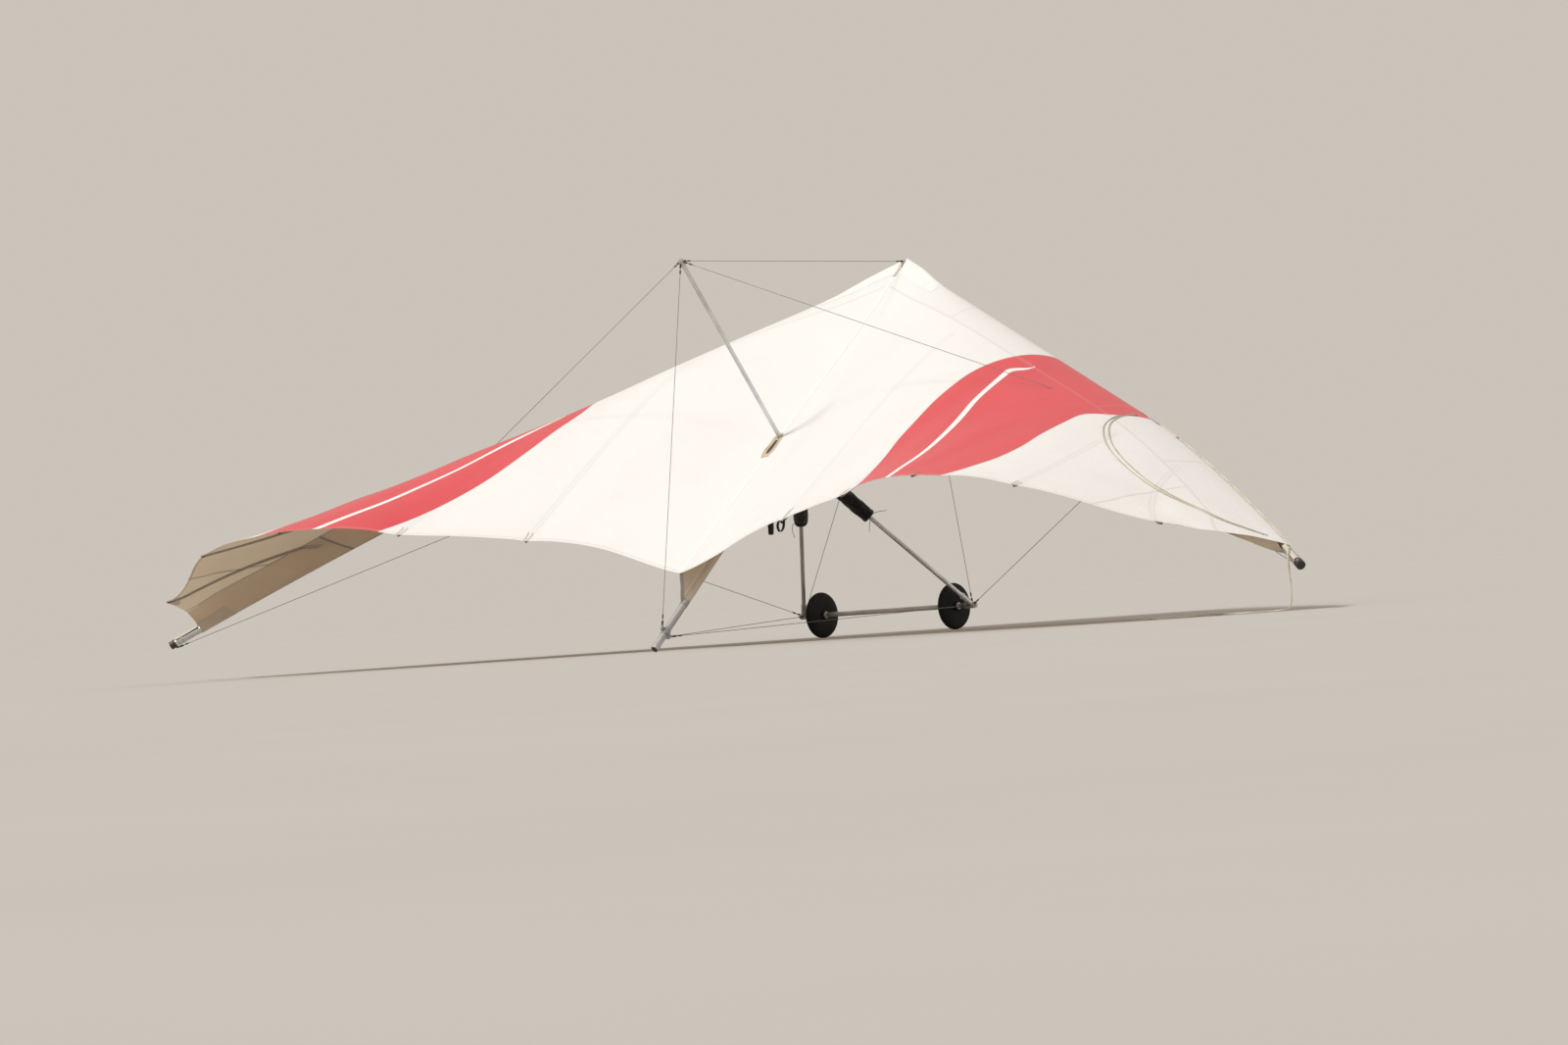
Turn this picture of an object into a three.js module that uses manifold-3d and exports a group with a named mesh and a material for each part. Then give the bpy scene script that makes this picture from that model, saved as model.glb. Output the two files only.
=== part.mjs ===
// A training hang glider, parked on the two wheels of its control frame and on the tail of its keel.
// Millimetres. X is starboard, Y forward and Z up, and the origin is the middle of its footprint.
// The airframe is laid out level, with the keel's nose end near zero, and then pitched nose up.
import * as THREE from 'three';
import { mergeVertices } from 'three/addons/utils/BufferGeometryUtils.js';
import Module from 'manifold-3d';

const wasm = await Module();
wasm.setup();

// Clearance between pieces that touch, and between a wheel and its axle.
const SEAT = 0.3;
const RUNNING = 0.5;

// Keel, kingpost and control frame.
const KEEL_RADIUS = 22.5;
const KEEL_FRONT = -20;
const KEEL_TAIL = -3600;
const TAIL_CAP_RADIUS = 25;
const TAIL_CAP_LENGTH = 45;
const TAIL_CAP_END = 4;
const KINGPOST_RADIUS = 14;
const KINGPOST_FOOT = new THREE.Vector3(0, -1760, KEEL_RADIUS);
const KINGPOST_TOP = new THREE.Vector3(0, -1595, 1488);
const KINGPOST_LIFT = 14;
const APEX = new THREE.Vector3(42, -1720, -190);
const CORNER = new THREE.Vector3(740, -1840, -1400);
const DOWNTUBE_RADIUS = 14;
const DOWNTUBE_INSET = 30;
const BASE_BAR_RADIUS = 16;
const BASE_BAR_END = 700;
const PAD_RADIUS = 50;
const PAD_START = 85;
const PAD_LENGTH = 440;
const PAD_ROUND = 14;

// Leading edge: straight from the nose to the bend, then bent back by the pull of the sail.
const LE_RADIUS = 25;
const LE_START = 60;
const LE_BEND = new THREE.Vector3(2890, -1735, -40);
const LE_END = new THREE.Vector3(4878, -3230, -10);
const LE_BEND_POWER = 1.6;
const LE_CAP_LENGTH = 40;
const LE_CAP_END = 4;
const LE_SLEEVE_RADIUS = 30;

// Crossbar, below the keel, and its joints to the leading edges.
const CROSSBAR_RADIUS = 25;
const CROSSBAR_CENTRE = new THREE.Vector3(0, -1810, -55);
const CROSSBAR_SHORT = 106;
const JUNCTION_X = 3050;
const JUNCTION_DROP = 18;
const HUB_RADIUS = 29;
const HUB_HALF = 110;

// Wheels: thin rounded discs that turn on the base bar between two collars.
const WHEEL_RADIUS = 152.5;
const WHEEL_HALF = 28;
const WHEEL_INSET = 160;
const HUB_FACE_HALF = 32;
const COLLAR_RADIUS = 22;
const COLLAR_LENGTH = 12;

// Sail: one thin sheet a side, with a pocket folded round the leading edge.
const SHEET = 2.6;
const POCKET_RADIUS = LE_RADIUS + SEAT + SHEET / 2 + 0.5;
const POCKET_DEPTH = 230;
const POCKET_GAP = 1.2;
const CAMBER_POWER = 0.55;
const SAIL_LE_TIP = 4700;
const SAIL_TE_TIP = 4330;
const SAIL_SECTIONS = 12;
// Shares of a rib's chord, from the trailing edge forward, and where the fold round the
// leading edge begins, counted from its front.
const SHEET_STEPS = [1, 0.86, 0.72, 0.58, 0.45, 0.33, 0.22, 0.13, 0.06, 0.02];
const WRAP_FIRST = THREE.MathUtils.degToRad(40);
const WRAP_STEPS = 9;
// Six equal steps from the root rib to the tip rib: where the trailing edge lies, how deep
// the rib is cambered, and how far its front stands above the leading edge.
const RIBS = [
  { back: -3080, rise: 160, camber: -12, lift: 14 },
  { back: -3020, rise: 425, camber: 150, lift: 0 },
  { back: -3215, rise: 760, camber: 160, lift: 0 },
  { back: -3400, rise: 1070, camber: 125, lift: 0 },
  { back: -3490, rise: 1020, camber: 60, lift: 0 },
  { back: -3410, rise: 545, camber: 30, lift: 0 },
];

// Battens, under the sheet at these sections of the sail, with the gap that each slant needs.
const BATTENS = [
  { section: 3, gap: 1.8 },
  { section: 5, gap: 1 },
  { section: 7, gap: 1.8 },
  { section: 9, gap: 1 },
  { section: 11, gap: 0.4 },
];
const BATTEN_BACK = 0.985;
const BATTEN_RADIUS = 6;

// Keel pocket: a web of cloth from the sail's root to a sleeve round the keel.
const POCKET_FRONT = -2110;
const POCKET_BACK_TOP = -3080;
const POCKET_BACK_FOOT = -3210;
const POCKET_STEPS = 6;
const WEB_HALF = 2.5;
const SLEEVE_RADIUS = KEEL_RADIUS + 4;
const SLEEVE_SIDES = 14;

// Rigging.
const WIRE_RADIUS = 2;
const FERRULE_RADIUS = 4.5;
const FERRULE_LENGTH = 45;
const POST_X = 2680;
const POST_LENGTH = 200;
const POST_RADIUS = 9;
const REAR_FITTING = -3450;
const WIRE_HOLE_RADIUS = 12;

// Hang loops, worn over the keel behind the control frame.
const LOOP_PLACES = [-1945, -2035];
const LOOP_DROPS = [300, 360];
const LOOP_WIDTH = 34;
const LOOP_THICK = 3;
const LOOP_SLACK = 4.5;
const LOOP_FOOT = 6;

// Tether rope: along the front of the starboard wing, over its end and loose on the floor.
const ROPE_RADIUS = 6;
const ROPE_STEPS = 60;
const ROPE_TURN = THREE.MathUtils.degToRad(35);
const ROPE_EDGE = [3085, 3133, 3525, 3917, 4308, 4600, 4712];
const ROPE_FREE = [
  { x: 4752, y: -692, z: 371 },
  { x: 4770, y: -744, z: 345 },
  { x: 4778, y: -755, z: 298 },
  { x: 4782, y: -755, z: 200 },
  { x: 4782, y: -752, z: 90 },
  { x: 4776, y: -766, z: 24 },
  { x: 4745, y: -818, z: 7 },
  { x: 4655, y: -905, z: 7 },
  { x: 4520, y: -925, z: 7 },
  { x: 4400, y: -850, z: 7 },
  { x: 4270, y: -770, z: 7 },
  { x: 4130, y: -800, z: 7 },
  { x: 4010, y: -900, z: 7 },
  { x: 3870, y: -925, z: 7 },
];

const paint = (color, roughness, metalness) => new THREE.MeshStandardMaterial({ color, roughness, metalness });
const materials = {
  sail: paint(0xf4f4f2, 0.7, 0),
  tube: paint(0xb9bcbd, 0.4, 0.9),
  crossbar: paint(0x8f877c, 0.5, 0.8),
  fitting: paint(0x8d9091, 0.45, 0.9),
  foam: paint(0x141414, 0.95, 0),
  plastic: paint(0x1b1b1c, 0.55, 0),
  wire: paint(0x4a4743, 0.4, 0.8),
  webbing: paint(0x17171a, 0.9, 0),
  rope: paint(0xcfc6b2, 0.9, 0),
};

const glider = new THREE.Group();
const airframe = new THREE.Group();
glider.add(airframe);

const vector = (x, y, z) => new THREE.Vector3(x, y, z);

function put(name, shape, material, parent = airframe) {
  const geometry = shape.isBufferGeometry ? shape : geometryOf(shape);
  const mesh = new THREE.Mesh(geometry, material);
  mesh.name = name;
  parent.add(mesh);
  return mesh;
}

// A starboard piece and its mirror image to port.
function putPair(name, shape, material) {
  const geometry = shape.isBufferGeometry ? shape : geometryOf(shape);
  put(`${name}_right`, geometry, material);
  put(`${name}_left`, geometry, material).scale.x = -1;
}

function solidOf(geometry) {
  const bare = geometry.index ? geometry.toNonIndexed() : geometry.clone();
  bare.deleteAttribute('normal');
  bare.deleteAttribute('uv');
  const merged = mergeVertices(bare, 1e-3);
  return new wasm.Manifold(new wasm.Mesh({
    numProp: 3,
    vertProperties: merged.attributes.position.array,
    triVerts: new Uint32Array(merged.index.array),
  }));
}

function geometryOf(solid) {
  const mesh = solid.getMesh();
  const geometry = new THREE.BufferGeometry();
  geometry.setAttribute('position', new THREE.BufferAttribute(new Float32Array(mesh.vertProperties), 3));
  geometry.setIndex(new THREE.BufferAttribute(new Uint32Array(mesh.triVerts), 1));
  const flat = geometry.toNonIndexed();
  flat.computeVertexNormals();
  return flat;
}

const joined = (parts) => parts.map(solidOf).reduce((whole, part) => whole.add(part));
const cut = (whole, parts) => parts.map(solidOf).reduce((rest, part) => rest.subtract(part), whole);

// A point on the line from a to b, so many millimetres from a.
function towards(a, b, distance) {
  return b.clone().sub(a).setLength(distance).add(a);
}

const mirrored = (point) => vector(-point.x, point.y, point.z);

// Turns a shape that stands on Y so that it runs from a towards b.
function laid(geometry, a, b) {
  const way = b.clone().sub(a).normalize();
  geometry.applyQuaternion(new THREE.Quaternion().setFromUnitVectors(vector(0, 1, 0), way));
  return geometry.translate(a.x, a.y, a.z);
}

function rod(a, b, radius, sides = 20) {
  const length = a.distanceTo(b);
  return laid(new THREE.CylinderGeometry(radius, radius, length, sides).translate(0, length / 2, 0), a, b);
}

// A hole for a round bar of that radius, with the seat's clearance on its flats.
const BORE_SIDES = 24;
const bore = (a, b, radius) => rod(a, b, (radius + SEAT) / Math.cos(Math.PI / BORE_SIDES), BORE_SIDES);

function block(low, high) {
  const size = high.clone().sub(low);
  const middle = low.clone().add(high).multiplyScalar(0.5);
  return new THREE.BoxGeometry(size.x, size.y, size.z).translate(middle.x, middle.y, middle.z);
}

// A turned shape from rows of radius and height.
function turned(profile, segments) {
  return new THREE.LatheGeometry(profile.map(([radius, height]) => new THREE.Vector2(radius, height)), segments);
}

// Closed skin through rings of points that all have the same count. The end faces are given as
// triangles. Past the index called turn, the quads are split the other way.
function loft(rings, endFaces, turn = Infinity) {
  const count = rings[0].length;
  const faces = [];
  for (let r = 0; r < rings.length - 1; r += 1) {
    for (let i = 0; i < count; i += 1) {
      const a = r * count + i;
      const b = r * count + ((i + 1) % count);
      if (i < turn) faces.push([a, a + count, b], [b, a + count, b + count]);
      else faces.push([a, a + count, b + count], [a, b + count, b]);
    }
  }
  const last = (rings.length - 1) * count;
  for (const [a, b, c] of endFaces) {
    faces.push([a, b, c], [last + a, last + c, last + b]);
  }
  const geometry = new THREE.BufferGeometry();
  const numbers = rings.flat().flatMap((p) => p.toArray());
  geometry.setAttribute('position', new THREE.Float32BufferAttribute(numbers, 3));
  geometry.setIndex(faces.flat());
  return geometry;
}

// A round bar through points.
function bent(line, radius, sides) {
  const rings = line.map((point, i) => {
    const way = line[Math.min(i + 1, line.length - 1)].clone().sub(line[Math.max(i - 1, 0)]).normalize();
    const across = way.clone().cross(vector(0, 0, 1)).normalize();
    const up = across.clone().cross(way);
    return Array.from({ length: sides }, (_, k) => {
      const angle = (2 * Math.PI * k) / sides;
      return point.clone().addScaledVector(across, radius * Math.cos(angle)).addScaledVector(up, radius * Math.sin(angle));
    });
  });
  const fan = Array.from({ length: sides - 2 }, (_, k) => [0, k + 1, k + 2]);
  return loft(rings, fan);
}

// The leading edge's middle line, for the starboard side: a curve, and the straight lengths
// between the sail's sections that follow it.
function edgeCurve(x) {
  const slope = LE_BEND.y / LE_BEND.x;
  if (x <= LE_BEND.x) return vector(x, slope * x, (LE_BEND.z * x) / LE_BEND.x);
  const share = (x - LE_BEND.x) / (LE_END.x - LE_BEND.x);
  const straight = LE_BEND.y + slope * (x - LE_BEND.x);
  const back = LE_END.y - LE_BEND.y - slope * (LE_END.x - LE_BEND.x);
  return vector(x, straight + back * share ** LE_BEND_POWER, LE_BEND.z + (LE_END.z - LE_BEND.z) * share);
}

const SECTION = SAIL_LE_TIP / SAIL_SECTIONS;
function leadingEdge(x) {
  const before = Math.min(Math.floor(x / SECTION), SAIL_SECTIONS) * SECTION;
  const after = before + SECTION > SAIL_LE_TIP + 1 ? LE_END.x : before + SECTION;
  return edgeCurve(before).lerp(edgeCurve(after), (x - before) / (after - before));
}

const leadingEdgeWay = (x) => leadingEdge(x + 1).sub(leadingEdge(x - 1)).normalize();

// Rigging: each wire runs between two ferrules, and each ferrule belongs to the fitting at its end.
const ferrules = {};
function wire(name, [fittingA, a], [fittingB, b]) {
  for (const [fitting, from, to] of [[fittingA, a, b], [fittingB, b, a]]) {
    ferrules[fitting] = ferrules[fitting] ?? [];
    ferrules[fitting].push(rod(from, towards(from, to, FERRULE_LENGTH), FERRULE_RADIUS, 10));
  }
  const reach = FERRULE_LENGTH + SEAT;
  const strand = rod(towards(a, b, reach), towards(b, a, reach), WIRE_RADIUS, 6);
  put(`${name}_right`, strand, materials.wire);
  if (a.x || b.x) {
    put(`${name}_left`, strand, materials.wire).scale.x = -1;
  } else {
    airframe.children.at(-1).name = name;
  }
}

// Where the wires meet the fittings.
const junction = leadingEdge(JUNCTION_X);
const junctionWay = leadingEdgeWay(JUNCTION_X);
const crossbarEnd = vector(junction.x, junction.y, junction.z - JUNCTION_DROP);
const postTop = towards(CROSSBAR_CENTRE, crossbarEnd, POST_X);
const postFoot = postTop.clone().add(vector(0, 0, -POST_LENGTH));
const points = {
  top: KINGPOST_TOP.clone().add(vector(0, 0, 4)),
  junctionTop: junction.clone().add(vector(0, 0, LE_SLEEVE_RADIUS + 6)),
  junctionFoot: junction.clone().add(vector(-20, 0, -LE_SLEEVE_RADIUS - 10)),
  noseTop: vector(0, 22, 34),
  noseFoot: vector(14, 16, -42),
  noseSide: vector(38, 4, -42),
  rearTop: vector(0, REAR_FITTING, 40),
  rearFoot: vector(9, REAR_FITTING, -38),
  edgeEnd: LE_END.clone().add(vector(-22, 16, -36)),
};
wire('wire_lower_front', ['nose', points.noseFoot], ['corner', CORNER]);
wire('wire_lower_rear', ['rear', points.rearFoot], ['corner', CORNER]);
wire('wire_lower_side', ['junction', points.junctionFoot], ['corner', CORNER]);
wire('wire_upper_side', ['top', points.top], ['junction', points.junctionTop]);
wire('wire_upper_front', ['top', points.top], ['nose', points.noseTop]);
wire('wire_upper_rear', ['top', points.top], ['rear', points.rearTop]);
wire('wire_truss_outer', ['edge', points.edgeEnd], ['post', postFoot]);
wire('wire_truss_inner', ['nose', points.noseSide], ['post', postFoot]);

// A fitting on the middle line holds the ferrules of both sides.
const bothSides = (parts) => parts.flatMap((part) => [part, flipped(part)]);
function flipped(geometry) {
  const copy = (geometry.index ? geometry.toNonIndexed() : geometry.clone()).scale(-1, 1, 1);
  const numbers = copy.attributes.position.array;
  for (let i = 0; i < numbers.length; i += 9) {
    for (let k = 0; k < 3; k += 1) {
      [numbers[i + 3 + k], numbers[i + 6 + k]] = [numbers[i + 6 + k], numbers[i + 3 + k]];
    }
  }
  return copy;
}

// A column of the rib table at any share of the span, on a smooth curve through its rows.
function along(column, share) {
  const place = share * (RIBS.length - 1);
  const row = Math.min(Math.floor(place), RIBS.length - 2);
  const t = place - row;
  const [a, b, c, d] = [-1, 0, 1, 2].map((step) => {
    const i = Math.min(Math.max(row + step, 0), RIBS.length - 1);
    return RIBS[i][column];
  });
  const slopeB = (c - a) / 2;
  const slopeC = (d - b) / 2;
  return (((2 * b - 2 * c + slopeB + slopeC) * t + 3 * c - 3 * b - 2 * slopeB - slopeC) * t + slopeB) * t + b;
}

// A rib of the sail: its plane stands on the chord, with x running aft along it and y up.
function rib(share) {
  const front = leadingEdge(SAIL_LE_TIP * share);
  const back = vector(SAIL_TE_TIP * share, along('back', share), along('rise', share));
  const chord = vector(back.x - front.x, back.y - front.y, 0);
  const length = chord.length();
  chord.normalize();
  const way = leadingEdgeWay(Math.max(SAIL_LE_TIP * share, 2));
  const noseHalf = POCKET_RADIUS / Math.abs(chord.x * way.y - chord.y * way.x);
  const startX = -noseHalf * Math.cos(WRAP_FIRST);
  const startY = (POCKET_RADIUS + along('lift', share)) * Math.sin(WRAP_FIRST);
  const camber = along('camber', share);
  const top = (u) => new THREE.Vector2(
    startX + (length - startX) * u,
    startY + (back.z - front.z - startY) * u + camber * Math.sin(Math.PI * Math.max(u, 0) ** CAMBER_POWER),
  );
  const place = (q) => vector(front.x + chord.x * q.x, front.y + chord.y * q.x, front.z + q.y);
  const shareAt = (distance) => (distance - startX) / (length - startX);
  return { top, place, shareAt, depth: Math.min(POCKET_DEPTH, length * 0.4), noseHalf };
}

// The folded sheet of one rib: over the top, round the leading edge and back to the pocket's seam.
function sheetLine(share) {
  const { top, shareAt, depth, noseHalf } = rib(share);
  const seam = top(shareAt(depth)).add(new THREE.Vector2(0, -SHEET - POCKET_GAP));
  // The fold leaves the leading edge where a straight line to the seam just touches it.
  const last = Math.acos(POCKET_RADIUS / seam.length()) - seam.angle() - Math.PI;
  const wrapped = Array.from({ length: WRAP_STEPS + 1 }, (_, i) => {
    const angle = WRAP_FIRST + ((last - WRAP_FIRST) * i) / WRAP_STEPS;
    const high = POCKET_RADIUS + along('lift', share) * Math.max(Math.sign(angle), 0);
    return new THREE.Vector2(-noseHalf * Math.cos(angle), high * Math.sin(angle));
  });
  return [...SHEET_STEPS.map(top), ...wrapped, seam];
}

// Both faces of a rib's sheet, as one ring of points.
function sheetRing(share) {
  const line = sheetLine(share);
  const { place } = rib(share);
  const faces = [-1, 1].map((face) => line.map((point, i) => {
    const run = line[Math.min(i + 1, line.length - 1)].clone().sub(line[Math.max(i - 1, 0)]).normalize();
    return place(new THREE.Vector2(point.x - run.y * face * SHEET / 2, point.y + run.x * face * SHEET / 2));
  }));
  return [...faces[0], ...faces[1].reverse()].map((p) => p.add(vector(SEAT, 0, 0)));
}

// Triangles across the end of a sheet's ring, from one face to the other.
function sheetEnd(count) {
  const faces = [];
  for (let i = 0; i < count / 2 - 1; i += 1) {
    const across = count - 1 - i;
    faces.push([i, i + 1, across], [i + 1, across - 1, across]);
  }
  return faces;
}

function sailHalf() {
  const rings = [];
  for (let i = 0; i <= SAIL_SECTIONS; i += 1) rings.push(sheetRing(i / SAIL_SECTIONS));
  const count = rings[0].length;
  const whole = solidOf(loft(rings, sheetEnd(count), count / 2));
  const mouth = new THREE.BoxGeometry(250, 110, 180)
    .translate(0, 8, -30)
    .rotateZ(Math.atan2(junctionWay.y, junctionWay.x))
    .translate(junction.x, junction.y, junction.z);
  const slot = block(vector(-20, -1940, 10), vector(20, -1735, 300));
  const noseMouth = block(vector(-205, -360, -120), vector(205, 90, 31));
  const noseNotch = block(vector(-40, -40, -120), vector(40, 90, 120));
  const wireHole = rod(points.top, points.junctionTop, WIRE_HOLE_RADIUS, 10);
  return cut(whole, [mouth, slot, noseMouth, noseNotch, wireHole]);
}

function sail() {
  putPair('sail', sailHalf(), materials.sail);
  BATTENS.forEach(({ section, gap }, i) => {
    const { top, place, shareAt, depth } = rib(section / SAIL_SECTIONS);
    const drop = SHEET / 2 + BATTEN_RADIUS + gap;
    const front = shareAt(depth + 30);
    const shares = [BATTEN_BACK, ...SHEET_STEPS.filter((u) => u < BATTEN_BACK && u > front + 0.02), front];
    const line = shares.reverse().map((u) => {
      const point = top(u);
      const run = top(u + 0.01).sub(top(u - 0.01)).normalize();
      return place(new THREE.Vector2(point.x + run.y * drop, point.y - run.x * drop));
    });
    putPair(`batten_${i + 1}`, bent(line, BATTEN_RADIUS, 6), materials.tube);
  });
}

function keelPocket() {
  const { top, shareAt } = rib(0);
  const rings = [];
  const bare = Math.asin(WEB_HALF / SLEEVE_RADIUS);
  for (let i = 0; i < POCKET_STEPS; i += 1) {
    const along = i / (POCKET_STEPS - 1);
    const topY = POCKET_FRONT + (POCKET_BACK_TOP - POCKET_FRONT) * along;
    const footY = POCKET_FRONT + (POCKET_BACK_FOOT - POCKET_FRONT) * along;
    const topZ = top(shareAt(-topY)).y - SHEET / 2 - SEAT;
    const ring = [vector(WEB_HALF, topY, topZ)];
    for (let k = 0; k <= SLEEVE_SIDES; k += 1) {
      const angle = bare + ((2 * Math.PI - 2 * bare) * k) / SLEEVE_SIDES;
      ring.push(vector(SLEEVE_RADIUS * Math.sin(angle), footY, SLEEVE_RADIUS * Math.cos(angle)));
    }
    ring.push(vector(-WEB_HALF, topY, topZ));
    rings.push(ring);
  }
  const outline = rings[0].map((p) => new THREE.Vector2(p.x, p.z));
  const ends = THREE.ShapeUtils.triangulateShape(outline, []).map((face) => face.sort((a, b) => a - b));
  const skin = loft(rings, ends);
  const hole = bore(vector(0, POCKET_FRONT + 100, 0), vector(0, POCKET_BACK_FOOT - 100, 0), KEEL_RADIUS);
  put('keel_pocket', cut(solidOf(skin), [hole]), materials.sail);
}

function keel() {
  const keelEnd = vector(0, KEEL_TAIL + TAIL_CAP_END + SEAT, 0);
  put('keel_tube', rod(vector(0, KEEL_FRONT, 0), keelEnd, KEEL_RADIUS, 24), materials.tube);
  const capEnd = vector(0, KEEL_TAIL, 0);
  const capBody = joined([rod(vector(0, KEEL_TAIL + TAIL_CAP_LENGTH, 0), capEnd, TAIL_CAP_RADIUS, 28)]);
  const capHole = bore(vector(0, KEEL_TAIL + TAIL_CAP_END, 0), vector(0, KEEL_TAIL + 200, 0), KEEL_RADIUS);
  put('keel_end_cap', cut(capBody, [capHole]), materials.plastic);

  const band = rod(vector(0, REAR_FITTING - 22, 0), vector(0, REAR_FITTING + 22, 0), SLEEVE_RADIUS, 24);
  const lugTop = block(vector(-5, REAR_FITTING - 14, 20), vector(5, REAR_FITTING + 14, 48));
  const lugFoot = block(vector(-14, REAR_FITTING - 14, -46), vector(14, REAR_FITTING + 14, -20));
  const clamp = joined([band, lugTop, lugFoot, ...bothSides(ferrules.rear)]);
  const clampHole = bore(vector(0, REAR_FITTING - 60, 0), vector(0, REAR_FITTING + 60, 0), KEEL_RADIUS);
  put('keel_rear_fitting', cut(clamp, [clampHole]), materials.fitting);
}

function nose() {
  const outline = [[30, 34], [190, -66], [172, -138], [70, -150], [40, -215]];
  const shape = new THREE.Shape();
  outline.forEach(([x, y], i) => shape[i ? 'lineTo' : 'moveTo'](x, y));
  [...outline].reverse().forEach(([x, y]) => shape.lineTo(-x, y));
  shape.closePath();
  const plate = (z) => new THREE.ExtrudeGeometry(shape, { depth: 4, bevelEnabled: false }).translate(0, 0, z);
  const front = block(vector(-30, 20, -32), vector(30, 34, 30));
  const lugTop = block(vector(-6, 8, 28), vector(6, 34, 42));
  const lugFoot = block(vector(-46, -8, -50), vector(46, 30, -30));
  put('nose_bracket', joined([plate(26), plate(-32.2), front, lugTop, lugFoot, ...bothSides(ferrules.nose)]),
    materials.fitting);
}

function leadingEdges() {
  const stations = Array.from({ length: SAIL_SECTIONS }, (_, i) => (i + 1) * SECTION);
  const line = [LE_START, ...stations, LE_END.x].map((x) => leadingEdge(x));
  putPair('leading_edge', bent(line, LE_RADIUS, 20), materials.tube);
  const way = leadingEdgeWay(LE_END.x - 1);
  const at = (distance) => LE_END.clone().addScaledVector(way, distance);
  const cap = joined([
    rod(at(-LE_CAP_LENGTH), at(LE_CAP_END), LE_RADIUS + 3, 24),
    rod(at(-LE_CAP_LENGTH / 2), points.edgeEnd, 6, 10),
    ...ferrules.edge,
  ]);
  putPair('leading_edge_cap', cut(cap, [bore(at(-200), at(SEAT), LE_RADIUS + 0.4)]), materials.plastic);
}

function crossbars() {
  const inner = towards(CROSSBAR_CENTRE, crossbarEnd, 3);
  const outer = towards(crossbarEnd, CROSSBAR_CENTRE, CROSSBAR_SHORT);
  putPair('crossbar', rod(inner, outer, CROSSBAR_RADIUS, 24), materials.crossbar);
  const hubEnd = towards(CROSSBAR_CENTRE, crossbarEnd, HUB_HALF);
  const hub = joined([rod(CROSSBAR_CENTRE, hubEnd, HUB_RADIUS, 24), rod(mirrored(hubEnd), CROSSBAR_CENTRE, HUB_RADIUS, 24)]);
  const past = towards(CROSSBAR_CENTRE, crossbarEnd, HUB_HALF + 50);
  const behind = towards(CROSSBAR_CENTRE, mirrored(crossbarEnd), 3);
  const holes = [bore(behind, past, CROSSBAR_RADIUS), bore(mirrored(behind), mirrored(past), CROSSBAR_RADIUS)];
  put('crossbar_hub', cut(hub, holes), materials.fitting);

  const at = (distance) => junction.clone().addScaledVector(junctionWay, distance);
  const socket = (distance) => towards(crossbarEnd, CROSSBAR_CENTRE, distance);
  const bracket = joined([
    rod(at(-62), at(62), LE_SLEEVE_RADIUS, 24),
    rod(socket(20), socket(190), HUB_RADIUS, 24),
    rod(junction, points.junctionTop, 7, 10),
    rod(junction, points.junctionFoot, 8, 10),
    ...ferrules.junction,
  ]);
  const bracketHoles = [
    bore(at(-200), at(200), LE_RADIUS + 0.5),
    bore(socket(CROSSBAR_SHORT - SEAT), socket(400), CROSSBAR_RADIUS),
  ];
  putPair('junction_bracket', cut(bracket, bracketHoles), materials.fitting);

  const clampAt = (distance) => towards(CROSSBAR_CENTRE, crossbarEnd, POST_X + distance);
  const post = joined([
    rod(clampAt(-20), clampAt(20), HUB_RADIUS, 24),
    rod(postTop, postFoot.clone().add(vector(0, 0, -6)), POST_RADIUS, 14),
    ...ferrules.post,
  ]);
  const postHole = bore(clampAt(-100), clampAt(100), CROSSBAR_RADIUS);
  putPair('truss_post', cut(post, [postHole]), materials.fitting);
}

function kingpost() {
  const foot = towards(KINGPOST_FOOT, KINGPOST_TOP, KINGPOST_LIFT);
  put('kingpost', rod(foot, KINGPOST_TOP, KINGPOST_RADIUS, 20), materials.tube);
  const saddle = block(vector(-26, KINGPOST_FOOT.y - 34, 10 + SEAT),
    vector(26, KINGPOST_FOOT.y + 34, KEEL_RADIUS + 12));
  const socket = rod(KINGPOST_FOOT, towards(KINGPOST_FOOT, KINGPOST_TOP, 42), KINGPOST_RADIUS + 4, 20);
  const keelHole = bore(vector(0, KINGPOST_FOOT.y - 80, 0), vector(0, KINGPOST_FOOT.y + 80, 0), KEEL_RADIUS);
  const postHole = bore(towards(foot, KINGPOST_FOOT, SEAT), KINGPOST_TOP, KINGPOST_RADIUS);
  put('kingpost_foot', cut(joined([saddle, socket]), [keelHole, postHole]), materials.fitting);

  const capTop = towards(KINGPOST_TOP, KINGPOST_FOOT, -12);
  const capFoot = towards(KINGPOST_TOP, KINGPOST_FOOT, 34);
  const upper = ferrules.top;
  const cap = joined([rod(capFoot, capTop, KINGPOST_RADIUS + 4, 20), ...bothSides(upper)]);
  const capHole = bore(KINGPOST_FOOT, towards(KINGPOST_TOP, KINGPOST_FOOT, -SEAT), KINGPOST_RADIUS);
  put('kingpost_cap', cut(cap, [capHole]), materials.plastic);
}

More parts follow.
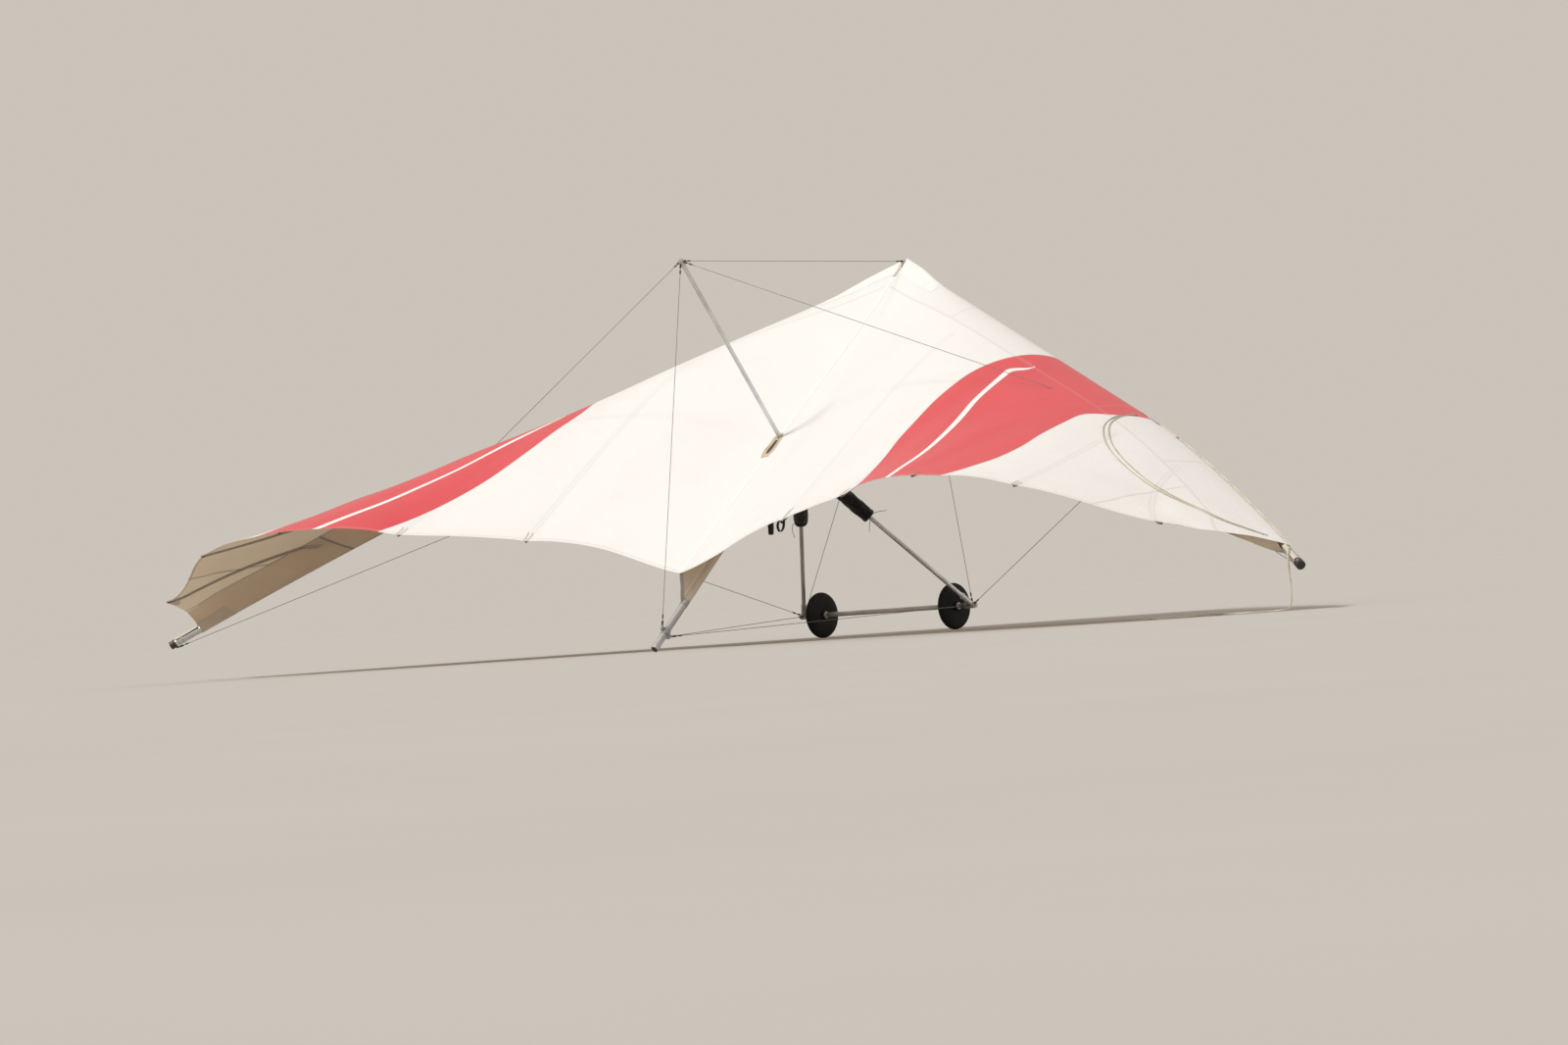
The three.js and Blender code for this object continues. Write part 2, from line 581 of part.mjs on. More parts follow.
function controlFrame() {
  const tubeTop = towards(APEX, CORNER, DOWNTUBE_INSET);
  const tubeFoot = towards(CORNER, APEX, DOWNTUBE_INSET);
  putPair('downtube', rod(tubeTop, tubeFoot, DOWNTUBE_RADIUS, 20), materials.tube);

  const padBore = (DOWNTUBE_RADIUS + SEAT) / Math.cos(Math.PI / BORE_SIDES);
  const pad = turned([
    [padBore, 0], [PAD_RADIUS - PAD_ROUND, 0], [PAD_RADIUS, PAD_ROUND], [PAD_RADIUS, PAD_LENGTH - PAD_ROUND],
    [PAD_RADIUS - PAD_ROUND, PAD_LENGTH], [padBore, PAD_LENGTH], [padBore, 0],
  ], BORE_SIDES);
  putPair('downtube_pad', laid(pad, towards(APEX, CORNER, PAD_START), CORNER), materials.foam);

  const plate = (x) => block(vector(x, -1880, -218), vector(x + 5, -1688, 10));
  const side = KEEL_RADIUS + SEAT;
  const block_ = block(vector(-60, -1748, -218), vector(60, -1694, -165));
  const sleeve = rod(APEX, towards(APEX, CORNER, 78), DOWNTUBE_RADIUS + 5, 20);
  const tubeHole = bore(towards(APEX, CORNER, DOWNTUBE_INSET - SEAT), CORNER, DOWNTUBE_RADIUS);
  const hubHole = bore(vector(-90, CROSSBAR_CENTRE.y, CROSSBAR_CENTRE.z), vector(90, CROSSBAR_CENTRE.y,
    CROSSBAR_CENTRE.z), HUB_RADIUS);
  const apex = joined([plate(side), plate(-side - 5), block_, sleeve, flipped(sleeve)]);
  put('apex_bracket', cut(apex, [tubeHole, flipped(tubeHole), hubHole]), materials.fitting);

  const barStart = vector(0, CORNER.y, CORNER.z);
  const barWay = vector(1, CORNER.y, CORNER.z);
  const wheelX = CORNER.x - WHEEL_INSET;
  const collar = (x) => [[BASE_BAR_RADIUS, x], [COLLAR_RADIUS, x], [COLLAR_RADIUS, x + COLLAR_LENGTH],
    [BASE_BAR_RADIUS, x + COLLAR_LENGTH]];
  const gap = HUB_FACE_HALF + RUNNING;
  const half = [...collar(wheelX - gap - COLLAR_LENGTH), ...collar(wheelX + gap)];
  const otherHalf = half.map(([radius, x]) => [radius, -x]).reverse();
  const bar = turned([
    [0, -BASE_BAR_END], [BASE_BAR_RADIUS, -BASE_BAR_END], ...otherHalf, ...half,
    [BASE_BAR_RADIUS, BASE_BAR_END], [0, BASE_BAR_END],
  ], 24);
  put('base_bar', laid(bar, barStart, barWay), materials.tube);

  const elbow = joined([
    rod(vector(CORNER.x - 72, CORNER.y, CORNER.z), vector(CORNER.x + 24, CORNER.y, CORNER.z), BASE_BAR_RADIUS + 5, 24),
    rod(CORNER, towards(CORNER, APEX, 105), DOWNTUBE_RADIUS + 4, 20),
    ...ferrules.corner,
  ]);
  const elbowHoles = [
    bore(barStart, vector(BASE_BAR_END + SEAT, CORNER.y, CORNER.z), BASE_BAR_RADIUS),
    bore(towards(CORNER, APEX, DOWNTUBE_INSET - SEAT), APEX, DOWNTUBE_RADIUS),
  ];
  putPair('corner_bracket', cut(elbow, elbowHoles), materials.fitting);
}

// The angle that brings the wheels and the keel's tail down to one level floor.
const tail = vector(0, KEEL_TAIL, -TAIL_CAP_RADIUS);
const axle = CORNER.clone().sub(tail);
const reach = Math.hypot(axle.y, axle.z);
const PITCH = Math.atan2(-axle.z, axle.y) + Math.asin(WHEEL_RADIUS / reach);

function wheels() {
  const bored = BASE_BAR_RADIUS + RUNNING;
  const rim = [];
  for (let turn = -75; turn <= 75; turn += 25) {
    const angle = THREE.MathUtils.degToRad(turn);
    rim.push([WHEEL_RADIUS - 26 + 26 * Math.cos(angle), WHEEL_HALF * 0.86 * Math.sin(angle)]);
  }
  const disc = turned([
    [bored, -HUB_FACE_HALF], [32, -HUB_FACE_HALF], [36, -22], [80, -WHEEL_HALF], ...rim,
    [80, WHEEL_HALF], [36, 22], [32, HUB_FACE_HALF], [bored, HUB_FACE_HALF], [bored, -HUB_FACE_HALF],
  ], 48);
  disc.rotateZ(-Math.PI / 2);
  for (const [side, word] of [[1, 'right'], [-1, 'left']]) {
    const wheel = put(`wheel_${word}`, disc, materials.plastic);
    wheel.position.set((CORNER.x - WHEEL_INSET) * side, CORNER.y, CORNER.z);
    wheel.rotation.x = -PITCH;
  }
}

// Webbing that is folded over the keel and hangs straight down as the glider is parked.
function hangLoops() {
  LOOP_PLACES.forEach((place, i) => {
    const middle = airframe.localToWorld(vector(0, place, 0));
    const high = KEEL_RADIUS / Math.cos(PITCH) + (LOOP_WIDTH / 2) * Math.tan(PITCH) + 2 * SEAT;
    const outline = (out) => {
      const path = new THREE.Path();
      path.absellipse(0, 0, KEEL_RADIUS + LOOP_SLACK + out, high + out, 0, Math.PI, false, 0);
      path.absarc(0, -LOOP_DROPS[i], LOOP_FOOT + out, Math.PI, 2 * Math.PI, false);
      path.closePath();
      return path;
    };
    const shape = new THREE.Shape(outline(LOOP_THICK).getPoints(10));
    shape.holes.push(new THREE.Path(outline(0).getPoints(10)));
    const band = new THREE.ExtrudeGeometry(shape, { depth: LOOP_WIDTH, bevelEnabled: false, curveSegments: 10 });
    band.translate(0, 0, -LOOP_WIDTH / 2).rotateX(Math.PI / 2).translate(middle.x, middle.y, middle.z);
    put(`hang_loop_${i + 1}`, band, materials.webbing, glider);
  });
}

function tether() {
  const offset = LE_SLEEVE_RADIUS + ROPE_RADIUS + SEAT / 2;
  const onEdge = ROPE_EDGE.map((x) => {
    const way = leadingEdgeWay(x);
    const forward = vector(-way.y, way.x, 0).normalize();
    const point = leadingEdge(x).addScaledVector(forward, offset * Math.cos(ROPE_TURN));
    return airframe.localToWorld(point.add(vector(0, 0, offset * Math.sin(ROPE_TURN))));
  });
  const curve = new THREE.CatmullRomCurve3([...onEdge, ...ROPE_FREE.map(({ x, y, z }) => vector(x, y, z))]);
  const line = curve.getPoints(ROPE_STEPS).map((p) => vector(p.x, p.y, Math.max(p.z, ROPE_RADIUS + SEAT)));
  put('tether_rope', bent(line, ROPE_RADIUS, 6), materials.rope, glider);
}

sail();
keelPocket();
keel();
nose();
leadingEdges();
crossbars();
kingpost();
controlFrame();
wheels();

// Parked: pitched nose up, wheels on the floor and the footprint's middle at the origin.
airframe.rotation.x = PITCH;
glider.updateMatrixWorld(true);
const wheelPlace = airframe.localToWorld(CORNER.clone());
const footprint = new THREE.Box3().setFromObject(airframe, true);
airframe.position.set(0, -(footprint.min.y + footprint.max.y) / 2, WHEEL_RADIUS - wheelPlace.z);
glider.updateMatrixWorld(true);
hangLoops();
tether();

export default glider;
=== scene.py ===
"""The looks of the parked hang glider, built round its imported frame. Metres; X starboard, Y forward, Z up."""
import contextlib
import math

import bmesh
import bpy
import numpy as np
from mathutils import Matrix, Vector


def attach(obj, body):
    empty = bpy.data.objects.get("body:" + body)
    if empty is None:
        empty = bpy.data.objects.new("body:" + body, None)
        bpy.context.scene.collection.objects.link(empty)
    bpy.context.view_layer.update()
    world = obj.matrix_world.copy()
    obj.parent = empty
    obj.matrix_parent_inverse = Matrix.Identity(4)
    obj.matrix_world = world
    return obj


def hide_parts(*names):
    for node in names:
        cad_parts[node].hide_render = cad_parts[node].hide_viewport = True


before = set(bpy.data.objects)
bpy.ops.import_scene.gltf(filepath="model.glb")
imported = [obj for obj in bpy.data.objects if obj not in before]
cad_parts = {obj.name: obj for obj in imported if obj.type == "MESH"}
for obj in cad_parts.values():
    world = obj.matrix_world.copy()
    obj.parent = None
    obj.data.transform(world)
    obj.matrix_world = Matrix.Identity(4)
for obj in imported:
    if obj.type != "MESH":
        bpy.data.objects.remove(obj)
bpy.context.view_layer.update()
BODY = "airframe"
# What turns a starboard point to its own side, and the side's word in names.
SIDES = ((np.array([1, 1, 1]), "right"), (np.array([-1, 1, 1]), "left"))

# The airframe is modelled level, keel along Y and nose at zero, and then parked nose up.
PITCH = math.radians(41.913964)
PARK_Y, PARK_Z = 1.625329, 2.423454
PARK = Matrix.Translation((0, PARK_Y, PARK_Z)) @ Matrix.Rotation(PITCH, 4, "X")
TURN = np.array(PARK)[:3, :3]

KEEL_RADIUS = 0.0225
KEEL_FRONT, KEEL_TAIL = -0.020, -3.600
LE_RADIUS = 0.025
LE_START, LE_BEND_POWER = 0.060, 1.6
LE_BEND = np.array([2.890, -1.735, -0.040])
LE_END = np.array([4.878, -3.230, -0.010])
CORNER = np.array([0.740, -1.840, -1.400])
APEX = np.array([0.042, -1.720, -0.190])
CROSS_CENTRE = np.array([0, -1.810, -0.055])
JUNCTION_X, JUNCTION_DROP = 3.050, 0.018
WHEEL_RADIUS, WHEEL_INSET = 0.1525, 0.160
KINGPOST_FOOT = np.array([0, -1.760, 0.0225])
KINGPOST_TOP = np.array([0, -1.595, 1.488])
SPAN_LE, SPAN_TE = 4.700, 4.330
SECTIONS = 12


# Points and curves.
def park(points):
    """Points of the level airframe, where they stand when it is parked."""
    return np.asarray(points, float) @ TURN.T + np.array([0, PARK_Y, PARK_Z])


def unit(v):
    v = np.asarray(v, float)
    return v / np.linalg.norm(v)


def smooth(points, count):
    """A centripetal curve through points, as count points evenly spread along it."""
    p = np.asarray(points, float)
    p = np.vstack([2 * p[0] - p[1], p, 2 * p[-1] - p[-2]])
    t = np.linspace(0, 1, 24, endpoint=False)[:, None]
    fine = []
    for a, b, c, d in zip(p, p[1:], p[2:], p[3:]):
        ab, bc, cd = (math.sqrt(np.linalg.norm(w)) for w in (b - a, c - b, d - c))
        out = ((b - a) / ab - (c - a) / (ab + bc) + (c - b) / bc) * bc
        into = ((c - b) / bc - (d - b) / (bc + cd) + (d - c) / cd) * bc
        square, cube = 3 * (c - b) - 2 * out - into, 2 * (b - c) + out + into
        fine.append(b + out * t + square * t ** 2 + cube * t ** 3)
    fine = np.vstack([*fine, p[-2]])
    way = travelled(fine)
    at = np.linspace(0, way[-1], count)
    return np.stack([np.interp(at, way, fine[:, k]) for k in range(3)], 1)


def travelled(line):
    """The distance along a line at each of its points."""
    return np.concatenate([[0], np.cumsum(np.linalg.norm(np.diff(line, axis=0), axis=1))])


def towards(a, b, distance):
    """The point at a distance from a on the way to b."""
    a, b = np.asarray(a, float), np.asarray(b, float)
    return a + unit(b - a) * distance


def ease(x, low, high):
    t = np.clip((x - low) / (high - low), 0, 1)
    return t * t * (3 - 2 * t)


# Meshes.
def link(name, data):
    """A new object in the scene."""
    obj = bpy.data.objects.new(name, data)
    bpy.context.scene.collection.objects.link(obj)
    return obj


def shaded(mesh, sharp):
    """Smooth shading, with the edges over an angle kept sharp."""
    mesh.polygons.foreach_set("use_smooth", [True] * len(mesh.polygons))
    if sharp < 180:
        mesh.set_sharp_from_angle(angle=math.radians(sharp))


def settle(obj, body=BODY, node=None):
    """Puts a finished piece on its body and, where it shows one, in a solid's place."""
    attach(obj, body)
    if node:
        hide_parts(node)
    return obj


def applied(obj):
    """Gives an object the mesh that its modifiers make, and clears them."""
    mesh = bpy.data.meshes.new_from_object(obj.evaluated_get(bpy.context.evaluated_depsgraph_get()))
    obj.modifiers.clear()
    obj.data = mesh
    return mesh


def places(mesh):
    """A mesh's vertices as rows."""
    return np.array([v.co[:] for v in mesh.vertices])


def write_values(obj, values):
    """A number at each vertex under each name, for the looks to read."""
    for name, value in values.items():
        layer = obj.data.attributes.new(name, "FLOAT", "POINT")
        layer.data.foreach_set("value", np.asarray(value, np.float32))


@contextlib.contextmanager
def edited(mesh):
    """The mesh opened for edits, and written back after them."""
    opened = bmesh.new()
    opened.from_mesh(mesh)
    yield opened
    opened.to_mesh(mesh)
    opened.free()


def piece(name, verts, faces, looks, slot=None, body=BODY, parked=True, sharp=35, index=None, node=None):
    """A mesh object in one look or more, whose place is in its vertices, riding on a body."""
    looks = [looks] if isinstance(looks, str) else looks
    mesh = bpy.data.meshes.new(name)
    mesh.from_pydata((park(verts) if parked else np.asarray(verts, float)).tolist(), [], faces)
    for one in looks:
        mesh.materials.append(LOOKS[one][0])
    if index is not None:
        mesh.polygons.foreach_set("material_index", index)
    mesh.validate()
    shaded(mesh, sharp)
    return settle(link(name, mesh), body, node)


def merged(parts):
    """One list of vertices and one of faces for several parts."""
    verts, faces, base = [], [], 0
    for points, sides in parts:
        verts.append(np.asarray(points, float))
        faces += [[base + i for i in side] for side in sides]
        base += len(points)
    return np.vstack(verts), faces


def closed(name, parts, look, **more):
    """A piece made of closed parts, with its faces turned outwards."""
    obj = piece(name, *merged(parts), look, **more)
    with edited(obj.data) as mesh:
        bmesh.ops.recalc_face_normals(mesh, faces=mesh.faces[:])
    return obj


def pair(name, parts, look, node=None, **more):
    """A closed piece on the starboard side and its mirror image on the port side."""
    for flip, word in SIDES:
        closed(f"{name}_{word}", [(points * flip, faces) for points, faces in parts], look,
               node=node and f"{node}_{word}", **more)


def skin(rings, caps=True):
    """Quads through rings of points, each ring closed round."""
    rings = np.asarray(rings, float)
    n, m = rings.shape[:2]
    faces = []
    for r in range(n - 1):
        for i in range(m):
            j = (i + 1) % m
            faces.append([r * m + i, r * m + j, (r + 1) * m + j, (r + 1) * m + i])
    if caps:
        faces.append(list(range(m))[::-1])
        faces.append([(n - 1) * m + i for i in range(m)])
    return rings.reshape(-1, 3), faces


def slab(rows, thick, caps=True):
    """A thin sheet: rows of points, and the same rows again, moved by its thickness."""
    rows = np.array(rows)
    return skin(np.concatenate([rows, rows[:, ::-1] + thick], axis=1), caps)


def ways_along(path):
    ways = np.gradient(np.asarray(path, float), axis=0)
    return ways / np.linalg.norm(ways, axis=1)[:, None]


def frames(path, up=None):
    """A side and an up vector at each point of a path, turning as little as they can."""
    ways = ways_along(path)
    first = np.array(up if up is not None else ([0, 0, 1] if abs(ways[0][2]) < 0.9 else [0, 1, 0]), float)
    ups = []
    for way in ways:
        first = unit(first - way * (first @ way))
        ups.append(first)
    ups = np.array(ups)
    return np.cross(ways, ups), ups, ways


def bands(path, ups):
    """The same for a flat band, with its ups given."""
    ways = ways_along(path)
    ups = ups - ways * np.sum(ups * ways, axis=1)[:, None]
    ups /= np.linalg.norm(ups, axis=1)[:, None]
    return np.cross(ways, ups), ups, ways


def swept(path, side, up, outline):
    """Rings of a flat outline, carried along a path."""
    x, y = np.array(outline).T
    return path[:, None] + side[:, None] * x[:, None] + up[:, None] * y[:, None]


def tube(path, radius, sides=24, up=None, caps=True):
    """A round bar along a path. The radius may be one number or one for each point."""
    side, up_, _ = frames(path, up)
    radius = np.broadcast_to(np.asarray(radius, float), (len(path),))
    a = np.linspace(0, 2 * np.pi, sides, endpoint=False)
    ring = np.cos(a)[None, :, None] * side[:, None] + np.sin(a)[None, :, None] * up_[:, None]
    return skin(np.asarray(path)[:, None] + ring * radius[:, None, None], caps=caps)


def lathe(profile, base, way, sides=32):
    """A turned shape: rows of distance along way from base, and radius."""
    way = unit(way)
    path = np.array([np.asarray(base, float) + way * d for d, _ in profile])
    a = unit(np.cross(way, [0, 0, 1] if abs(way[2]) < 0.9 else [0, 1, 0]))
    b = np.cross(way, a)
    t = np.linspace(0, 2 * np.pi, sides, endpoint=False)
    ring = np.cos(t)[:, None] * a + np.sin(t)[:, None] * b
    rings = [path[i] + ring * max(r, 1e-5) for i, (_, r) in enumerate(profile)]
    return skin(rings)


# Geometry nodes.
class Tree:
    """A geometry node tree with named inputs. It ends in Realize Instances and Set Material."""

    def __init__(self, name, **inputs):
        self.tree = bpy.data.node_groups.new(name, "GeometryNodeTree")
        self.values, self.keys = inputs, {}
        self.tree.interface.new_socket("geometry", in_out="INPUT", socket_type="NodeSocketGeometry")
        kinds = {int: "NodeSocketInt", float: "NodeSocketFloat", bpy.types.Material: "NodeSocketMaterial"}
        for key, value in inputs.items():
            socket = self.tree.interface.new_socket(key, in_out="INPUT", socket_type=kinds[type(value)])
            self.keys[key] = socket.identifier
        self.tree.interface.new_socket("geometry", in_out="OUTPUT", socket_type="NodeSocketGeometry")
        self.start = self.tree.nodes.new("NodeGroupInput")

    def given(self, key):
        return self.start.outputs[key]

    def node(self, kind, inputs, out=0, **settings):
        made = self.tree.nodes.new(kind)
        for key, value in settings.items():
            setattr(made, key, value)
        for key, value in inputs.items():
            for one in value if isinstance(value, list) else [value]:
                if isinstance(one, bpy.types.NodeSocket):
                    self.tree.links.new(one, made.inputs[key])
                else:
                    made.inputs[key].default_value = one
        return made.outputs[out]

    def reckon(self, kind, a, b):
        return self.node("ShaderNodeMath", {0: a, 1: b}, operation=kind)

    def vector(self, x, y, z):
        return self.node("ShaderNodeCombineXYZ", {0: x, 1: y, 2: z})

    def attribute(self, name, kind="FLOAT_VECTOR"):
        return self.node("GeometryNodeInputNamedAttribute", {"Name": name}, data_type=kind)

    def turned(self, axis, way, before=None):
        first = {"Rotation": before} if before else {}
        return self.node("FunctionNodeAlignRotationToVector", {"Vector": way, **first}, axis=axis,
                         pivot_axis="X" if before else "AUTO")

    def end(self, points, instance, turn, size):
        """Copies of an instance on points, made real and given the material."""
        laid = self.node("GeometryNodeInstanceOnPoints", {"Points": points, "Instance": instance,
                                                          "Rotation": turn, "Scale": size})
        real = self.node("GeometryNodeRealizeInstances", {0: laid})
        done = self.node("GeometryNodeSetMaterial", {0: real, "Material": self.given("material")})
        self.tree.links.new(done, self.tree.nodes.new("NodeGroupOutput").inputs[0])
        return self

    def grow(self, name, verts, edges, slot, sharp=180, **attributes):
        """A plain mesh grown by the tree on points and lines of the airframe."""
        mesh = bpy.data.meshes.new(name)
        mesh.from_pydata(park(verts).tolist(), edges, [])
        for key, value in attributes.items():
            arrows = np.ndim(value) == 2
            layer = mesh.attributes.new(key, "FLOAT_VECTOR" if arrows else "FLOAT", "POINT")
            value = value @ TURN.T if arrows else value
            layer.data.foreach_set("vector" if arrows else "value", value.reshape(-1))
        obj = link(name, mesh)
        grown = obj.modifiers.new("nodes", "NODES")
        grown.node_group = self.tree
        for key, value in self.values.items():
            grown[self.keys[key]] = value
        mesh = applied(obj)
        for key in attributes:
            if key in mesh.attributes:
                mesh.attributes.remove(mesh.attributes[key])
        shaded(mesh, sharp)
        mesh.name = name
        settle(obj)


def stitch_tree(name, material, spacing, length, width, height):
    """Stitches laid along lines, flat on the cloth, each a little different."""
    t = Tree(name, spacing=spacing, length=length, width=width, height=height, stray=0.12, seed=11,
             material=material)
    line = t.node("GeometryNodeMeshToCurve", {0: t.given("geometry")})
    line = t.node("GeometryNodeResampleCurve", {"Curve": line, "Length": t.given("spacing")}, mode="LENGTH")
    thread = t.node("GeometryNodeMeshIcoSphere", {"Radius": 1.0, "Subdivisions": 1})
    turn = t.turned("Z", t.attribute("up"), t.turned("X", t.node("GeometryNodeInputTangent", {})))
    low, high = (t.reckon(kind, 1.0, t.given("stray")) for kind in ("SUBTRACT", "ADD"))
    stray = t.node("FunctionNodeRandomValue", {0: t.vector(low, low, low), 1: t.vector(high, high, high),
                                               "Seed": t.given("seed")}, data_type="FLOAT_VECTOR")
    size = t.vector(*(t.reckon("MULTIPLY", t.given(key), 0.5) for key in ("length", "width", "height")))
    size = t.node("ShaderNodeVectorMath", {0: size, 1: stray}, operation="MULTIPLY")
    return t.end(line, thread, turn, size)


def bolt_tree(material):
    """A hexagon head with a chamfer, on a washer, at each point; way and size come with the points."""
    t = Tree("bolt_heads", head=1.0, head_height=0.62, chamfer=0.20, washer=1.30, washer_height=0.20,
             seed=5, material=material)
    washer, head = (t.node("GeometryNodeMeshCylinder", {
        "Vertices": sides, "Radius": t.given(part),
        "Depth": t.reckon("MULTIPLY", t.given(f"{part}_height"), 2.0),
    }) for part, sides in (("washer", 20), ("head", 6)))
    top = t.node("GeometryNodeMeshCone", {"Vertices": 6, "Radius Bottom": t.given("head"), "Radius Top": 0.82,
                                          "Depth": t.given("chamfer")})
    top = t.node("GeometryNodeTransform", {0: top, "Translation": t.vector(0.0, 0.0, t.given("head_height"))})
    spin = t.node("FunctionNodeRandomValue", {2: 0.0, 3: 2 * math.pi, "Seed": t.given("seed")}, out=1,
                  data_type="FLOAT")
    spin = t.node("FunctionNodeEulerToRotation", {0: t.vector(0.0, 0.0, spin)})
    turn = t.node("FunctionNodeRotateRotation", {0: t.turned("Z", t.attribute("way")), 1: spin},
                  rotation_space="LOCAL")
    size = t.attribute("size", "FLOAT")
    return t.end(t.node("GeometryNodeMeshToPoints", {0: t.given("geometry")}),
                 t.node("GeometryNodeJoinGeometry", {0: [washer, head, top]}), turn,
                 t.vector(size, size, size))


# Shader arithmetic.
def shader_math(kind, swapped=False):
    """A method of Value that adds one node of a kind, its own value first or, swapped, last."""
    def method(self, *others):
        values = (*others, self) if swapped else (self, *others)
        return self.look.node("ShaderNodeMath", *values, operation=kind)

    return method


class Value:
    """A socket of a material's node tree that can be added, multiplied and compared."""

    __add__ = __radd__ = shader_math("ADD")
    __sub__, __rsub__ = shader_math("SUBTRACT"), shader_math("SUBTRACT", swapped=True)
    __mul__ = __rmul__ = shader_math("MULTIPLY")
    __abs__, sin = shader_math("ABSOLUTE"), shader_math("SINE")
    min, max = shader_math("MINIMUM"), shader_math("MAXIMUM")

    def __init__(self, look, socket):
        self.look, self.socket = look, socket

    def ramp(self, low, high, start=0.0, end=1.0):
        return self.look.node("ShaderNodeMapRange", self, low, high, start, end,
                              interpolation_type="SMOOTHSTEP")

    def line(self, half, soft):
        """One within half of zero, falling to nothing over soft."""
        return abs(self).ramp(half, half + soft, 1.0, 0.0)


class Look:
    """A procedural material: one Principled shader, and nodes made by name."""

    def __init__(self, name, rough=0.5, metal=0.0, **constants):
        self.material = bpy.data.materials.new(name)
        self.material.use_nodes = True
        self.tree = self.material.node_tree
        self.tree.nodes.clear()
        self.out = self.tree.nodes.new("ShaderNodeOutputMaterial")
        self.shader = self.tree.nodes.new("ShaderNodeBsdfPrincipled")
        self.tree.links.new(self.shader.outputs[0], self.out.inputs[0])
        self.feed(self.shader, Roughness=rough, Metallic=metal, **constants)

    def feed(self, node, **inputs):
        """Links or sets a node's inputs by their names."""
        for key, value in inputs.items():
            socket = node.inputs[key.replace("_", " ")]
            if isinstance(value, Value):
                self.tree.links.new(value.socket, socket)
            else:
                socket.default_value = value
        return node

    def node(self, kind, *values, out=0, **settings):
        made = self.tree.nodes.new(kind)
        for key, value in settings.items():
            setattr(made, key, value)
        for socket, value in zip((s for s in made.inputs if s.enabled), values):
            if isinstance(value, Value):
                self.tree.links.new(value.socket, socket)
            elif value is not None:
                socket.default_value = value
        return Value(self, made.outputs[out])

    def place(self, scale=(1, 1, 1)):
        at = self.node("ShaderNodeTexCoord", out=3)
        return self.node("ShaderNodeMapping", at, None, None, scale, vector_type="POINT")

    def attributes(self, *names):
        return [self.node("ShaderNodeAttribute", attribute_name=name, out=2) for name in names]

    def noise(self, scale, detail=3.0, rough=0.5, stretch=(1, 1, 1), warp=0.0):
        made = self.feed(self.tree.nodes.new("ShaderNodeTexNoise"), Vector=self.place(stretch), Scale=scale,
                         Detail=detail, Roughness=rough, Distortion=warp)
        return Value(self, made.outputs[0])

    def mix(self, share, a, b):
        a, b = (color if isinstance(color, Value) else (*color, 1) for color in (a, b))
        return self.node("ShaderNodeMix", share, a, b, out=2, data_type="RGBA")

    def bump(self, height, distance, strength=1.0, over=None):
        made = self.feed(self.tree.nodes.new("ShaderNodeBump"), Distance=distance, Strength=strength,
                         Height=height, **({"Normal": over} if over else {}))
        return Value(self, made.outputs[0])

    def set(self, **sockets):
        """Feeds the shader and hands over the finished material."""
        self.feed(self.shader, **sockets)
        return self.material

    def through(self, share, color):
        """Lets part of the light through, as thin cloth does."""
        made = self.feed(self.tree.nodes.new("ShaderNodeBsdfTranslucent"), Color=(*color, 1))
        mixed = self.feed(self.tree.nodes.new("ShaderNodeMixShader"), Fac=share)
        self.tree.links.new(self.shader.outputs[0], mixed.inputs[1])
        self.tree.links.new(made.outputs[0], mixed.inputs[2])
        self.tree.links.new(mixed.outputs[0], self.out.inputs[0])
        return self.material


def scaled(color, share, more=0.0):
    """A colour made darker or lighter, at most white."""
    return tuple(min(1, c * share + more) for c in color)


# Each batten's place: its share of the span and of the chord at its front, and of the span at its tail.
BATTENS = [(0.250, 0.160, 0.260), (0.417, 0.175, 0.445), (0.583, 0.195, 0.635), (0.700, 0.230, 0.812),
           (0.806, 0.150, 0.990)]


# Materials.
WHITE = (0.905, 0.910, 0.915)
# The sail's underside is the same white cloth: this beige is painted shade under the wing, with warm light
# thrown up from the ground.
UNDERSIDE_SHADE = (0.92, 0.80, 0.650)
RED = (0.655, 0.050, 0.068)
STRIPE = (0.88, 0.87, 0.86)
# Half the breadth of a batten's pocket as it is drawn on the cloth, and a rib's usual length.
POCKET_DRAWN, RIB_LENGTH = 0.018, 1.5
PANEL_SEAMS = (0.97, 2.86, 3.72)


def cloth_lines(span, aft, fore, tip, batten):
    """The seams, the hem, and the edges of the front pocket, the tip panel and the batten pockets."""
    seams = [(span - at).line(0.007, 0.004) for at in PANEL_SEAMS]
    seams = seams[0].max(seams[1]).max(seams[2]) * fore.ramp(0.240, 0.250, 1.0, 0.0)
    seams = seams.max(tip.line(0.007, 0.004) * fore.ramp(0.230, 0.250))
    lines = seams.max((aft - 0.022).line(0.0015, 0.002)).max((fore - 0.245).line(0.006, 0.004))
    return lines.max((batten - POCKET_DRAWN).line(0.0012, 0.002) * aft.ramp(0.0, 0.03))


def nearest_batten(look, chord):
    """The distance to the nearest batten's axis, or to the front end of its pocket where that is farther."""
    nearest = None
    names = [f"batten_{n + 1}" for n in range(len(BATTENS))]
    for (_, start, _), beside in zip(BATTENS, look.attributes(*names)):
        one = abs(beside).max((start - chord) * RIB_LENGTH + POCKET_DRAWN)
        nearest = one if nearest is None else nearest.min(one)
    return nearest


